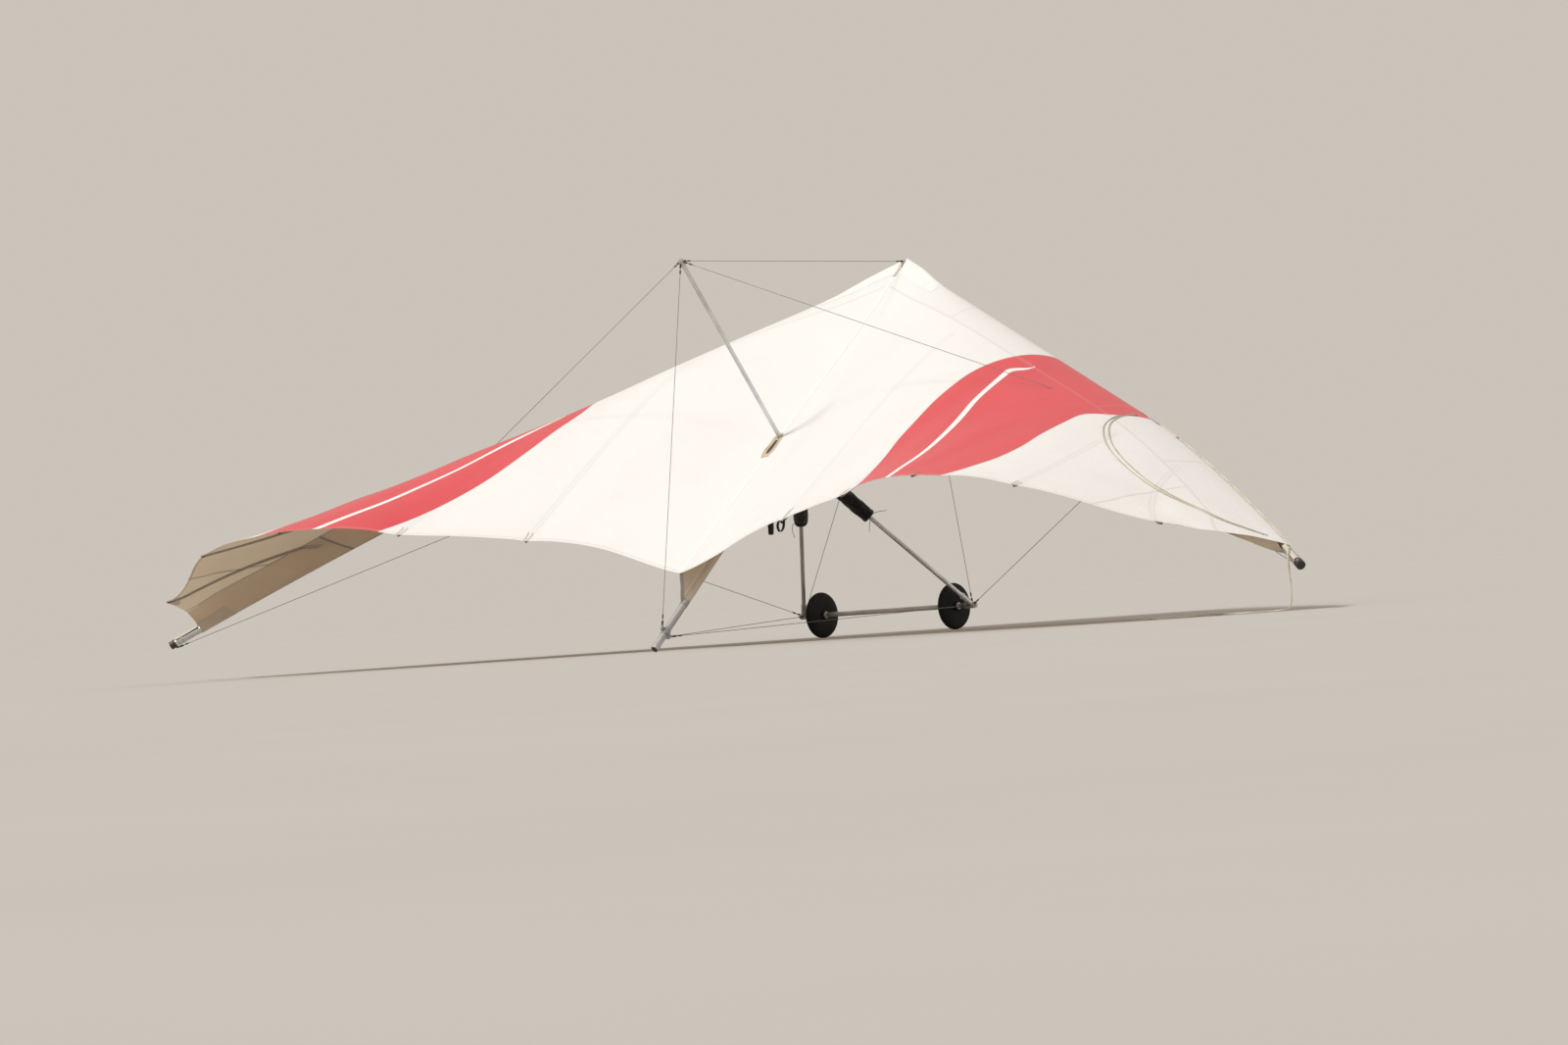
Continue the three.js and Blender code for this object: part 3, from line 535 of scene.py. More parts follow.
def sailcloth(name, base, under=False):
    look = Look(name, rough=0.55, Sheen_Weight=0.15, Specular_IOR_Level=0.35)
    span, aft, fore, chord, tip = look.attributes("span", "aft", "fore", "chord", "tip")
    batten = nearest_batten(look, chord)
    cloudy, fine = look.noise(1.3, 4.0, 0.6), look.noise(26.0, 4.0, 0.6)
    color = look.mix(cloudy.ramp(0.35, 0.75), base, scaled(base, 0.965))
    dirt = look.noise(5.0, 6.0, 0.7, warp=0.6)
    color = look.mix(dirt.ramp(0.58, 0.82) * (0.22 if under else 0.09), color, (0.42, 0.36, 0.29))
    if not under:
        inner, outer, stripe = look.attributes("inner", "outer", "stripe")
        inside = inner.ramp(-0.004, 0.004) * outer.ramp(-0.004, 0.004)
        color = look.mix(inside, color, look.mix(cloudy.ramp(0.3, 0.7), RED, (0.69, 0.068, 0.085)))
        color = look.mix(stripe.line(0.0265, 0.0035) * inside, color, STRIPE)
        edges = inner.line(0.005, 0.004) + outer.line(0.005, 0.004)
        color = look.mix(edges * 0.25, color, (0.30, 0.10, 0.10))
    lines = cloth_lines(span, aft, fore, tip, batten)
    hem = aft.ramp(0.022, 0.026, 1.0, 0.0)
    shade, drawn, hemmed = ((0.19, 0.155, 0.115), 0.80, 0.35) if under else ((0.52, 0.47, 0.40), 0.16, 0.04)
    color = look.mix(hem * hemmed, look.mix(lines * drawn, color, shade), shade)
    if under:
        color = look.mix(tip.ramp(0.0, 0.006) * 0.30, color, scaled(base, 1.22))
        # Painted shade: the cloth darker along each batten, in the hollow and crease of its pocket.
        pocket = batten.ramp(0.017, 0.020, 1.0, 0.0) * aft.ramp(0.0, 0.02)
        color = look.mix(pocket * 0.35, color, (0.27, 0.22, 0.165))
        shadow = look.noise(2.1, 4.0, 0.55, warp=0.4)
        color = look.mix(shadow.ramp(0.4, 0.7) * 0.15, color, (0.36, 0.32, 0.27))
    ripple = look.bump(look.noise(9.0, 5.0, 0.62, stretch=(1, 1.6, 1), warp=0.5), 0.008, 0.5)
    ripple = look.bump(fine, 0.0020, 0.45, over=ripple)
    ripple = look.bump(lines * -1.0 + hem * 0.6, 0.0012, 0.7, over=ripple)
    ripple = look.bump(look.noise(900.0, 1.0), 0.00018, 0.4, over=ripple)
    look.set(Base_Color=color, Normal=ripple, Roughness=cloudy.ramp(0.2, 0.8, 0.48, 0.66))
    if under:
        return look.through(lines * -0.36 + 0.53, base)
    return look.through(inside * -0.12 + 0.17, (0.86, 0.82, 0.76))


def plain_cloth(name, base, dirty=0.25, scale=240.0, thin=0.0):
    """Small cloth pieces: reinforcements, pockets and ties. Thin ones let some light through."""
    look = Look(name, rough=0.75, Sheen_Weight=0.2, Specular_IOR_Level=0.3)
    worn = look.noise(14.0, 5.0, 0.65, warp=0.4)
    ripple = look.bump(look.noise(30.0, 3.0), 0.002, 0.5)
    look.set(Base_Color=look.mix(worn.ramp(0.42, 0.75) * dirty, base, scaled(base, 0.45)),
             Normal=look.bump(look.noise(scale, 2.0), 0.0004, 0.5, over=ripple))
    return look.through(thin, base) if thin else look.material


def metal(name, base, dark, rough=0.36, gleam=0.9):
    look = Look(name, rough=rough, metal=gleam)
    cloudy, streak = look.noise(3.5, 5.0, 0.6), look.noise(70.0, 4.0, 0.6)
    scuff = look.noise(85.0, 5.0, 0.65, warp=0.8)
    color = look.mix(cloudy.ramp(0.35, 0.7), base, dark)
    ripple = look.bump(streak, 0.0004, 0.35)
    rougher = cloudy.ramp(0.25, 0.8, rough - 0.07, rough + 0.12) + scuff.ramp(0.6, 0.8, 0.0, 0.16)
    return look.set(Base_Color=look.mix(scuff.ramp(0.66, 0.74) * 0.35, color, scaled(dark, 0.45)),
                    Roughness=rougher,
                    Normal=look.bump(scuff, 0.0003, 0.3, over=ripple))


def plastic(name, base, rough=0.5, dust=0.3, shine=0.45):
    look = Look(name, rough=rough, Specular_IOR_Level=shine)
    cloudy = look.noise(9.0, 5.0, 0.6)
    scuff = look.noise(60.0, 6.0, 0.75, warp=1.0, stretch=(1, 1, 0.4))
    color = look.mix(cloudy.ramp(0.4, 0.8) * dust, base, (0.20, 0.165, 0.12))
    grain = look.bump(look.noise(420.0, 2.0), 0.0003, 0.35)
    return look.set(Base_Color=look.mix(scuff.ramp(0.62, 0.72) * (0.05 + dust), color, (0.16, 0.15, 0.14)),
                    Roughness=scuff.ramp(0.3, 0.8, rough - 0.06, rough + 0.16),
                    Normal=look.bump(scuff, 0.0004, 0.4, over=grain))


def foam(name):
    look = Look(name, rough=0.92, Sheen_Weight=0.35, Specular_IOR_Level=0.2)
    fuzz, rub = look.noise(320.0, 3.0, 0.7), look.noise(16.0, 5.0, 0.65, warp=0.5)
    color = look.mix(rub.ramp(0.45, 0.8) * 0.6, (0.012, 0.012, 0.013), (0.045, 0.042, 0.038))
    return look.set(Base_Color=color,
                    Normal=look.bump(fuzz, 0.0008, 0.6, over=look.bump(rub, 0.003, 0.6)))


def webbing(name, base, edge, rib=420.0):
    """Flat woven strap: ribs across, herringbone along."""
    look = Look(name, rough=0.82, Sheen_Weight=0.3, Specular_IOR_Level=0.25)
    lengthwise, across = look.attributes("along", "across")
    chevron = (lengthwise * rib + abs(across) * rib * 1.4).sin()
    worn = look.noise(40.0, 5.0, 0.7)
    color = look.mix(chevron.ramp(-0.6, 0.9) * 0.6, base, edge)
    return look.set(Base_Color=look.mix(worn.ramp(0.5, 0.75) * 0.35, color, scaled(edge, 1.8, 0.03)),
                    Normal=look.bump(worn, 0.0006, 0.4, over=look.bump(chevron, 0.0006, 0.7)))


def cable(name):
    look = Look(name, rough=0.42, metal=0.85)
    lay = look.noise(500.0, 2.0)
    return look.set(Base_Color=look.mix(lay.ramp(0.35, 0.65), (0.13, 0.125, 0.12), (0.34, 0.33, 0.31)),
                    Normal=look.bump(lay, 0.0004, 0.6))


def lattice_cloth(name, base, thread):
    """A patch crossed by rows of stitches."""
    look = Look(name, rough=0.8, Specular_IOR_Level=0.25)
    parts = look.feed(look.tree.nodes.new("ShaderNodeSeparateXYZ"), Vector=look.place())
    x, y = Value(look, parts.outputs[0]), Value(look, parts.outputs[1])
    one, other = (((x + y * way) * 260.0).sin().ramp(0.55, 0.9) for way in (1.0, -1.0))
    cross, worn = one.max(other), look.noise(30.0, 4.0)
    color = look.mix(worn.ramp(0.4, 0.8) * 0.3, look.mix(cross * 0.8, base, thread), thread)
    return look.set(Base_Color=color,
                    Normal=look.bump(cross, 0.0006, 0.6))


def pocket_cloth(name, base, band):
    """The keel pocket: a lighter band round the keel, seams, and a grey band at its rear edge, painted shade of
    its open end.
    """
    look = Look(name, rough=0.65, Sheen_Weight=0.15, Specular_IOR_Level=0.3)
    height, run = look.attributes("height", "run")
    cloudy = look.noise(4.0, 5.0, 0.6, warp=0.4)
    color = look.mix(cloudy.ramp(0.35, 0.75) * 0.5, base, scaled(base, 0.8))
    color = look.mix(height.ramp(0.80, 0.82), color, band)
    seam = (height - 0.81).line(0.006, 0.004).max((height - 0.04).line(0.006, 0.004))
    color = look.mix(seam * 0.5, color, (0.30, 0.26, 0.21))
    crinkle = look.bump(look.noise(14.0, 5.0, 0.6, warp=0.5), 0.006, 0.5)
    # The rear edge is painted grey: painted shade inside the pocket's open end.
    look.set(Base_Color=look.mix(run.ramp(0.955, 0.962), color, (0.46, 0.45, 0.43)),
             Normal=look.bump(seam, 0.001, 0.6, over=crinkle))
    return look.through(0.25, base)


# Each look's material, and the slot that its pieces go to.
LOOKS = {
    "sail": (sailcloth("sail_white", WHITE), "sailcloth"),
    "under": (sailcloth("sail_under", UNDERSIDE_SHADE, under=True), "sailcloth"),
    "sail_plain": (plain_cloth("sail_cover_cloth", (0.79, 0.79, 0.785), dirty=0.10), "sailcloth"),
    "thread": (plain_cloth("sail_thread", (0.78, 0.76, 0.72), dirty=0.2, scale=900.0), "sailcloth"),
    "pocket": (pocket_cloth("pocket_cloth", (0.78, 0.68, 0.54), (0.86, 0.78, 0.66)), "sailcloth"),
    "lattice": (lattice_cloth("lattice_cloth", (0.25, 0.21, 0.165), (0.13, 0.105, 0.08)), "sailcloth"),
    "patch": (plain_cloth("patch_cloth", (0.78, 0.67, 0.53), thin=0.35), "sailcloth"),
    "batten_pocket": (plain_cloth("batten_pocket_cloth", (0.40, 0.33, 0.25), thin=0.15), "sailcloth"),
    "slot": (plain_cloth("slot_cloth", (0.56, 0.46, 0.33), dirty=1.0), "sailcloth"),
    # A dark sheet under the kingpost's slot: painted shade in the opening.
    "gusset": (plain_cloth("slot_shade_sheet", (0.10, 0.075, 0.05), dirty=0.6), "sailcloth"),
    "rope": (webbing("rope_webbing", (0.56, 0.51, 0.41), (0.72, 0.67, 0.57), rib=300.0), "rope"),
    "rope_plain": (plain_cloth("batten_string", (0.50, 0.44, 0.34), dirty=0.5, scale=700.0), "rope"),
    "strap": (webbing("cream_strap", (0.50, 0.46, 0.38), (0.66, 0.62, 0.53)), "rope"),
    "webbing": (webbing("black_webbing", (0.010, 0.010, 0.012), (0.030, 0.030, 0.034)), "webbing"),
    "webbing_plain": (plain_cloth("black_tie", (0.015, 0.015, 0.016), dirty=0.2, scale=700.0), "webbing"),
    "tube": (metal("anodised_tube", (0.66, 0.67, 0.68), (0.50, 0.51, 0.52)), "tube"),
    # The crossbar's aluminium is painted darker and browner than the other tubes: painted shade from the sail
    # above it and a painted reflection of the warm ground.
    "crossbar": (metal("crossbar_tube", (0.42, 0.38, 0.33), (0.28, 0.25, 0.215), rough=0.45, gleam=0.75),
                 "crossbar_tube"),
    "fitting": (metal("milled_fitting", (0.56, 0.57, 0.58), (0.38, 0.38, 0.39), rough=0.42), "fitting"),
    "dark_fitting": (metal("dark_fitting", (0.20, 0.20, 0.205), (0.12, 0.12, 0.123), rough=0.46, gleam=0.85),
                     "fitting"),
    "steel": (metal("stainless_steel", (0.62, 0.61, 0.60), (0.44, 0.43, 0.42), rough=0.30, gleam=1.0),
              "fitting"),
    "foam": (foam("black_foam"), "foam"),
    "plastic": (plastic("black_plastic", (0.014, 0.014, 0.015)), "black_plastic"),
    "wheel": (plastic("wheel_plastic", (0.007, 0.007, 0.007), rough=0.60, dust=0.04, shine=0.22),
              "black_plastic"),
    "swage": (plastic("swage_sleeve", (0.02, 0.02, 0.02), rough=0.4, dust=0.1), "wire"),
    "cable": (cable("steel_cable"), "wire"),
}

# Camera, light and floor.
IMAGE_WIDTH, SENSOR_WIDTH = 1600, 36
CAM_AZIMUTH, CAM_HEIGHT, CAM_DISTANCE, CAM_ROLL = 42.46, 0.25, 35.0, -4.07
CAM_FOCAL, CAM_AIM_SIDE, CAM_AIM_HEIGHT = 5552, 0.162, 0.768
BACKDROP = (0.600, 0.550, 0.490)
FLOOR_HALF = 400


def camera():
    data = bpy.data.cameras.new("camera")
    data.sensor_width = SENSOR_WIDTH
    data.lens = SENSOR_WIDTH * CAM_FOCAL / IMAGE_WIDTH
    data.clip_end = FLOOR_HALF
    obj = link("camera", data)
    a = math.radians(CAM_AZIMUTH)
    obj.location = (CAM_DISTANCE * math.sin(a), -CAM_DISTANCE * math.cos(a), CAM_HEIGHT)
    aim = Vector((CAM_AIM_SIDE * math.cos(a), CAM_AIM_SIDE * math.sin(a), CAM_AIM_HEIGHT))
    look = (aim - obj.location).to_track_quat("-Z", "Y").to_matrix()
    obj.rotation_euler = (look @ Matrix.Rotation(math.radians(CAM_ROLL), 3, "Z")).to_euler()
    bpy.context.scene.camera = obj


def sun(name, azimuth, height, strength, angle, color):
    data = bpy.data.lights.new(name, "SUN")
    data.energy, data.angle, data.color = strength, math.radians(angle), color
    a, e = math.radians(azimuth), math.radians(height)
    back = Vector((math.sin(a) * math.cos(e), -math.cos(a) * math.cos(e), math.sin(e)))
    link(name, data).rotation_euler = back.to_track_quat("Z", "Y").to_euler()


def stage():
    bpy.context.scene.view_settings.view_transform = "Standard"
    world = bpy.data.worlds.new("world")
    bpy.context.scene.world = world
    world.use_nodes = True
    world.node_tree.nodes["Background"].inputs[0].default_value = (*BACKDROP, 1)
    world.node_tree.nodes["Background"].inputs[1].default_value = 1.0
    look = Look("floor_paint", rough=0.9, Specular_IOR_Level=0.1)
    cloudy = look.noise(0.6, 4.0, 0.55)
    look.set(Base_Color=look.mix(cloudy.ramp(0.3, 0.7), (0.498, 0.480, 0.455), (0.508, 0.490, 0.465)),
             Normal=look.bump(look.noise(60.0, 4.0), 0.001, 0.3))
    mesh = bpy.data.meshes.new("floor")
    corners = [(x * FLOOR_HALF, y * FLOOR_HALF, 0) for x, y in ((-1, -1), (1, -1), (1, 1), (-1, 1))]
    mesh.from_pydata(corners, [], [[0, 1, 2, 3]])
    mesh.materials.append(look.material)
    floor = link("floor", mesh)
    sun("key", -25, 48, 2.30, 9, (1.0, 0.99, 0.975))
    sun("fill", 80, 25, 0.35, 40, (1.0, 0.97, 0.93))


camera()
stage()

# Leading edge.
def edge_curve(x):
    """The leading edge's middle line on the starboard side, for one x or many."""
    x = np.asarray(x, float)
    slope = LE_BEND[1] / LE_BEND[0]
    share = np.clip((x - LE_BEND[0]) / (LE_END[0] - LE_BEND[0]), 0, None)
    back = LE_END[1] - LE_BEND[1] - slope * (LE_END[0] - LE_BEND[0])
    y = slope * x + back * share ** LE_BEND_POWER
    z = np.where(x < LE_BEND[0], LE_BEND[2] * x / LE_BEND[0], LE_BEND[2] + (LE_END[2] - LE_BEND[2]) * share)
    return np.stack([x, y, z], -1)


def edge_way(x):
    return unit(edge_curve(x + 0.001) - edge_curve(x - 0.001))


STATIONS = np.linspace(0, SPAN_LE, SECTIONS + 1)


def leading_edge(x):
    """The leading edge as its solid has it: straight from station to station."""
    points = edge_curve(np.append(STATIONS, LE_END[0]))
    return np.array([x, *(np.interp(x, points[:, 0], points[:, k]) for k in (1, 2))])


# The sail's ribs.
# Rows of the trailing edge's place and height, the camber and the front's lift, root to tip.
RIBS = np.array([[-3.080, 0.160, -0.012, 0.014], [-3.020, 0.425, 0.150, 0], [-3.215, 0.760, 0.160, 0],
                 [-3.400, 1.070, 0.125, 0], [-3.490, 1.020, 0.060, 0], [-3.410, 0.545, 0.030, 0]])
CAMBER_POWER, POCKET_DEPTH = 0.55, 0.230
POCKET_RADIUS = 0.0271
CLOTH = 0.0012
WRAP_FIRST = math.radians(40)


def along(share):
    """The rib table's columns at a share of the span, on a smooth curve through its rows."""
    place = share * (len(RIBS) - 1)
    row = min(int(place), len(RIBS) - 2)
    t = place - row
    a, b, c, d = (RIBS[min(max(row + k, 0), len(RIBS) - 1)] for k in (-1, 0, 1, 2))
    sb, sc = (c - a) / 2, (d - b) / 2
    return (((2 * b - 2 * c + sb + sc) * t + 3 * c - 3 * b - 2 * sb - sc) * t + sb) * t + b


class Rib:
    """One rib of the sail: top(u) runs from its front, at 0, to the trailing edge, at 1."""

    def __init__(self, share):
        self.share = share
        back, rise, self.camber, self.lift = along(share)
        self.front = edge_curve(SPAN_LE * share)
        self.back = np.array([SPAN_TE * share, back, rise])
        chord = self.back[:2] - self.front[:2]
        self.length = np.linalg.norm(chord)
        self.chord = np.array([*(chord / self.length), 0])
        way = edge_way(max(SPAN_LE * share, 0.002))
        self.nose = POCKET_RADIUS / abs(self.chord[0] * way[1] - self.chord[1] * way[0])
        self.x0 = -self.nose * math.cos(WRAP_FIRST)
        self.y0 = (POCKET_RADIUS + self.lift) * math.sin(WRAP_FIRST)
        self.depth = min(POCKET_DEPTH, self.length * 0.4)

    def top(self, u):
        u = np.asarray(u, float)
        x = self.x0 + (self.length - self.x0) * u
        y = (self.y0 + (self.back[2] - self.front[2] - self.y0) * u
             + self.camber * np.sin(np.pi * np.maximum(u, 0) ** CAMBER_POWER))
        return np.stack([x, y], -1)

    def share_at(self, distance):
        return (distance - self.x0) / (self.length - self.x0)

    def place(self, q):
        q = np.asarray(q, float)
        return self.front + q[..., :1] * self.chord + q[..., 1:] * np.array([0, 0, 1])


def batten_share(n, u):
    front, start, back = BATTENS[n]
    return front + (back - front) * (u - start) / (1 - start)


def batten_gap(share, u):
    """The distance along the span to the nearest batten, with its sign left off."""
    return np.min([abs(share - batten_share(n, u)) for n in range(len(BATTENS))], axis=0) * SPAN_LE


def drape(share, u, points):
    """Moves points of a bare rib to where the cloth hangs: lifted over the nose, slack between battens."""
    share, u = np.broadcast_to(share, np.shape(u)), np.asarray(u, float)
    points = np.array(points, float)
    slack = ease(batten_gap(share, u), 0.0, 0.22)
    slack = slack * ease(share, 0.02, 0.12) * ease(u, 0.03, 0.30)
    long = np.sin(24 * share + 7.5 * u + 0.8) + 0.6 * np.sin(51 * share - 5 * u)
    long = long + 0.5 * np.sin(17 * share + 19 * u)
    points[..., 2] += slack * (0.007 * np.sin(np.pi * np.clip(u, 0, 1)) + 0.0042 * long)
    lift = (1 - ease(points[..., 0], 0.15, 0.27)) * (1 - ease(-points[..., 1], 0.24, 0.42))
    points[..., 2] += 0.010 * lift
    points[..., 0] -= 0.060 * ease(share, 0.93, 1.0) * np.sin(np.pi * np.clip(u, 0, 1)) ** 0.8
    return points


def surface(share, u, up=0.0):
    """A point of the draped sail's middle surface, raised by a distance."""
    rib = Rib(min(share, 1.0))
    return drape(share, u, rib.place(rib.top(u))) + [0, 0, up]


# Tether rope.
ROPE_EDGE = [3.085, 3.133, 3.525, 3.917, 4.308, 4.600, 4.712]
ROPE_FREE = [(4.752, -0.692, 0.371), (4.770, -0.744, 0.345), (4.778, -0.755, 0.298), (4.782, -0.755, 0.200),
             (4.782, -0.752, 0.090), (4.776, -0.766, 0.024), (4.745, -0.818, 0.007), (4.655, -0.905, 0.007),
             (4.520, -0.925, 0.007), (4.400, -0.850, 0.007), (4.270, -0.770, 0.007), (4.130, -0.800, 0.007),
             (4.010, -0.900, 0.007), (3.870, -0.925, 0.007)]
ROPE_RADIUS, ROPE_OFFSET, ROPE_TURN, ROPE_STEPS = 0.006, 0.03615, math.radians(35), 420
# The doubled part that lies over the starboard sail: shares of the span and of the chord.
ROPE_ON_SAIL = [(0.645, 0.06), (0.650, 0.12), (0.672, 0.21), (0.730, 0.315), (0.806, 0.395), (0.860, 0.43),
                (0.914, 0.42), (0.950, 0.36), (0.975, 0.24), (0.988, 0.10)]
STRAND_RADIUS, STRAND_STEPS = 0.0034, 160
TAPE_OUTLINE = [(-0.0042, -0.0006), (-0.0036, -0.0013), (0.0036, -0.0013), (0.0042, -0.0006),
                (0.0042, 0.0006), (0.0036, 0.0013), (-0.0036, 0.0013), (-0.0042, 0.0006)]


def rope_line():
    """The rope's middle: along the front of the starboard wing, over its end and loose on the floor."""
    on_edge = []
    for x in ROPE_EDGE:
        way = leading_edge(x + 0.0005) - leading_edge(x - 0.0005)
        forward = unit([-way[1], way[0], 0])
        on_edge.append(leading_edge(x) + forward * ROPE_OFFSET * math.cos(ROPE_TURN)
                       + [0, 0, ROPE_OFFSET * math.sin(ROPE_TURN)])
    line = smooth(np.vstack([park(on_edge), ROPE_FREE]), ROPE_STEPS)
    line[:, 2] = np.maximum(line[:, 2], ROPE_RADIUS + 0.0003)
    return line


def rope_tapes(line, way):
    """Two flat tapes twisted round each other."""
    side, up, _ = frames(line)
    tapes = []
    for start in (0, math.pi):
        turn = way * 14.0 + 0.7 * np.sin(way * 5.0) + start
        radial = np.cos(turn)[:, None] * side + np.sin(turn)[:, None] * up
        middle = line + radial * 0.0022
        middle[:, 2] = np.maximum(middle[:, 2], 0.0030)
        tape_side, tape_up, _ = bands(middle, radial)
        rings = swept(middle, tape_side, tape_up, TAPE_OUTLINE)
        rings[..., 2] = np.maximum(rings[..., 2], 0.0008)
        tapes.append(skin(rings))
    return merged(tapes)


def rope_end(line):
    """A knot and a small loop at the free end."""
    end, back = line[-1], unit(line[-8] - line[-1])
    across = unit(np.cross(back, [0, 0, 1]))
    t = np.linspace(0, 2 * math.pi, 60)
    knot = end + back * 0.03 + np.stack([0.011 * np.sin(2 * t), 0.011 * np.cos(3 * t), 0 * t], 1)
    knot += (0.004 * np.sin(5 * t) + 0.0022)[:, None] * [0, 0, 1]
    eye = end + back * 0.012 - (1 - np.cos(t))[:, None] * back * 0.028 + np.sin(t)[:, None] * across * 0.016
    eye[:, 2] = 0.0062 + 0.002 * np.sin(t * 2)
    return merged([tube(knot, 0.0042, 8, caps=False), tube(eye, 0.0036, 8, caps=False)])


def tether():
    line = rope_line()
    way = travelled(line)
    ending = piece("tether_rope_knot", *rope_end(line), "rope_plain", parked=False, sharp=180)
    rope = piece("tether_rope_tapes", *rope_tapes(line, way), "rope", parked=False, sharp=60,
                 node="tether_rope")
    for k, word in ((-1, "front"), (1, "back")):
        run = [leading_edge(JUNCTION_X + 0.038 - 0.006 * k) + [0, -0.020, 0.0450],
               surface(0.6447, 0.047, 0.0060)]
        run += [surface(share, u + 0.012 * k, 0.0046) for share, u in ROPE_ON_SAIL]
        run = park(smooth(run, STRAND_STEPS))
        run[:, 2] += 0.0012 * np.sin(np.arange(STRAND_STEPS) * 0.31 + k)
        strand = piece(f"rope_over_sail_{word}", *tube(run, STRAND_RADIUS, 8), "rope_plain", parked=False,
                       sharp=180)


tether()

# Sail.
SPAN_STEPS, TOP_STEPS, WRAP_STEPS, SEAM_STEPS = 150, 84, 16, 10
# Where the red panel's inner and outer edges and its stripe cross each rib: shares of chord and of span.
BAND_INNER = np.array([[0, 0.420], [0.07, 0.400], [0.14, 0.388], [0.20, 0.378], [0.28, 0.370],
                       [0.47, 0.380], [0.66, 0.400], [0.85, 0.440], [1, 0.478]])
BAND_OUTER = np.array([[0, 0.655], [0.13, 0.645], [0.225, 0.622], [0.36, 0.640], [0.565, 0.672],
                       [0.75, 0.690], [0.87, 0.690], [1, 0.686]])
BAND_STRIPE = np.array([[0.13, 0.412], [0.195, 0.424], [0.4, 0.458], [0.64, 0.510], [0.82, 0.545],
                        [1, 0.575]])


def ease_table(table, u):
    """A table's second column at u, smoothed between its rows."""
    xs = np.linspace(table[0, 0], table[-1, 0], 400)
    ys = np.interp(xs, table[:, 0], table[:, 1])
    kernel = np.hanning(61)
    padded = np.concatenate([np.full(30, ys[0]) - (ys[30:0:-1] - ys[0]), ys, 2 * ys[-1] - ys[-2:-32:-1]])
    return np.interp(u, xs, np.convolve(padded, kernel / kernel.sum(), "valid"))


def scallop(share):
    """How far the trailing edge is cut in between two battens."""
    edges = [0, *(back for _, _, back in BATTENS)]
    for a, b in zip(edges, edges[1:]):
        if share <= b:
            return 0.022 * (b - a) / 0.167 * math.sin(math.pi * (share - a) / (b - a))
    return 0


def sail_grid():
    """Middle surface of the starboard half: rib by rib, from the trailing edge round to the pocket's seam."""
    us = np.linspace(1, 0, TOP_STEPS + 1)[:-1] ** 1.35
    rows, facts = [], []
    for share in np.linspace(0, 1, SPAN_STEPS + 1):
        rib = Rib(share)
        cut = scallop(share) / rib.length
        u = us - cut * ease(us, 0.75, 1.0)
        seam = rib.top(rib.share_at(rib.depth)) - [0, 0.0038]
        last = math.acos(POCKET_RADIUS / np.linalg.norm(seam)) - math.atan2(seam[1], seam[0]) - math.pi
        angles = np.linspace(WRAP_FIRST, last, WRAP_STEPS + 1)
        high = POCKET_RADIUS + rib.lift * (angles > 0)
        wrap = np.stack([-rib.nose * np.cos(angles), high * np.sin(angles)], 1)
        t = np.linspace(0, 1, SEAM_STEPS + 1)[1:, None]
        sag = -0.006 * np.sin(np.pi * t) * (1 + 0.5 * np.sin(share * 40))
        low = wrap[-1] + (seam - wrap[-1]) * t + np.concatenate([0 * sag, sag], 1)
        line = np.vstack([rib.top(u), wrap, low])
        u_all = np.concatenate([u, np.zeros(len(wrap)), np.clip(low[:, 0] / rib.length, 0, 1)])
        rows.append(drape(share, u_all, rib.place(line)))
        aft = (1 - u_all - cut) * rib.length
        facts.append(np.stack([np.full(len(line), share * SPAN_LE), aft, u_all * rib.length, u_all], 1))
    return np.array(rows), np.array(facts)


def blocked(points):
    """Which points lie in an opening of the sail: the kingpost's slot, the nose or a junction's mouth."""
    x, y, z = points[..., 0], points[..., 1], points[..., 2]
    slot = (x < 0.018) & (y > -1.94) & (y < -1.735)
    nose = ((x < 0.205) & (y > -0.36) & (z < 0.0335)) | ((x < 0.040) & (y > -0.04))
    way = edge_way(JUNCTION_X)
    d = points - edge_curve(JUNCTION_X)
    run = d[..., 0] * way[0] + d[..., 1] * way[1]
    off = -d[..., 0] * way[1] + d[..., 1] * way[0]
    mouth = (abs(run) < 0.120) & (abs(off - 0.008) < 0.055) & (d[..., 2] < 0.055)
    return slot | nose | mouth


def pocket_ends(rows, normal):
    """A doubled band at the outer end of each leading edge pocket, and a gusset behind the tube."""
    part = np.s_[-8:, TOP_STEPS + 7:-SEAM_STEPS // 2]
    outer, inner = (rows[part] + normal[part] * d for d in (0.0022, 0.0010))
    pair("pocket_end_band", [skin(np.concatenate([outer, inner[:, ::-1]], axis=1))], "patch", sharp=60)
    rib, last = Rib(1.0), rows[-1]
    top, low = last[:TOP_STEPS], last[TOP_STEPS + WRAP_STEPS:]
    run_top, run_low = ((p - rib.front) @ rib.chord for p in (top, low))
    over = np.stack([np.interp(run_low, run_top[::-1], top[::-1, k]) for k in range(3)], 1)
    share = np.linspace(0, 1, 6)[:, None, None]
    face = low + (over - low) * share - edge_way(4.69) * (0.004 + 0.010 * np.sin(np.pi * share))
    pair("pocket_end_gusset", [slab(face, -edge_way(4.69) * CLOTH)], "patch", sharp=60)


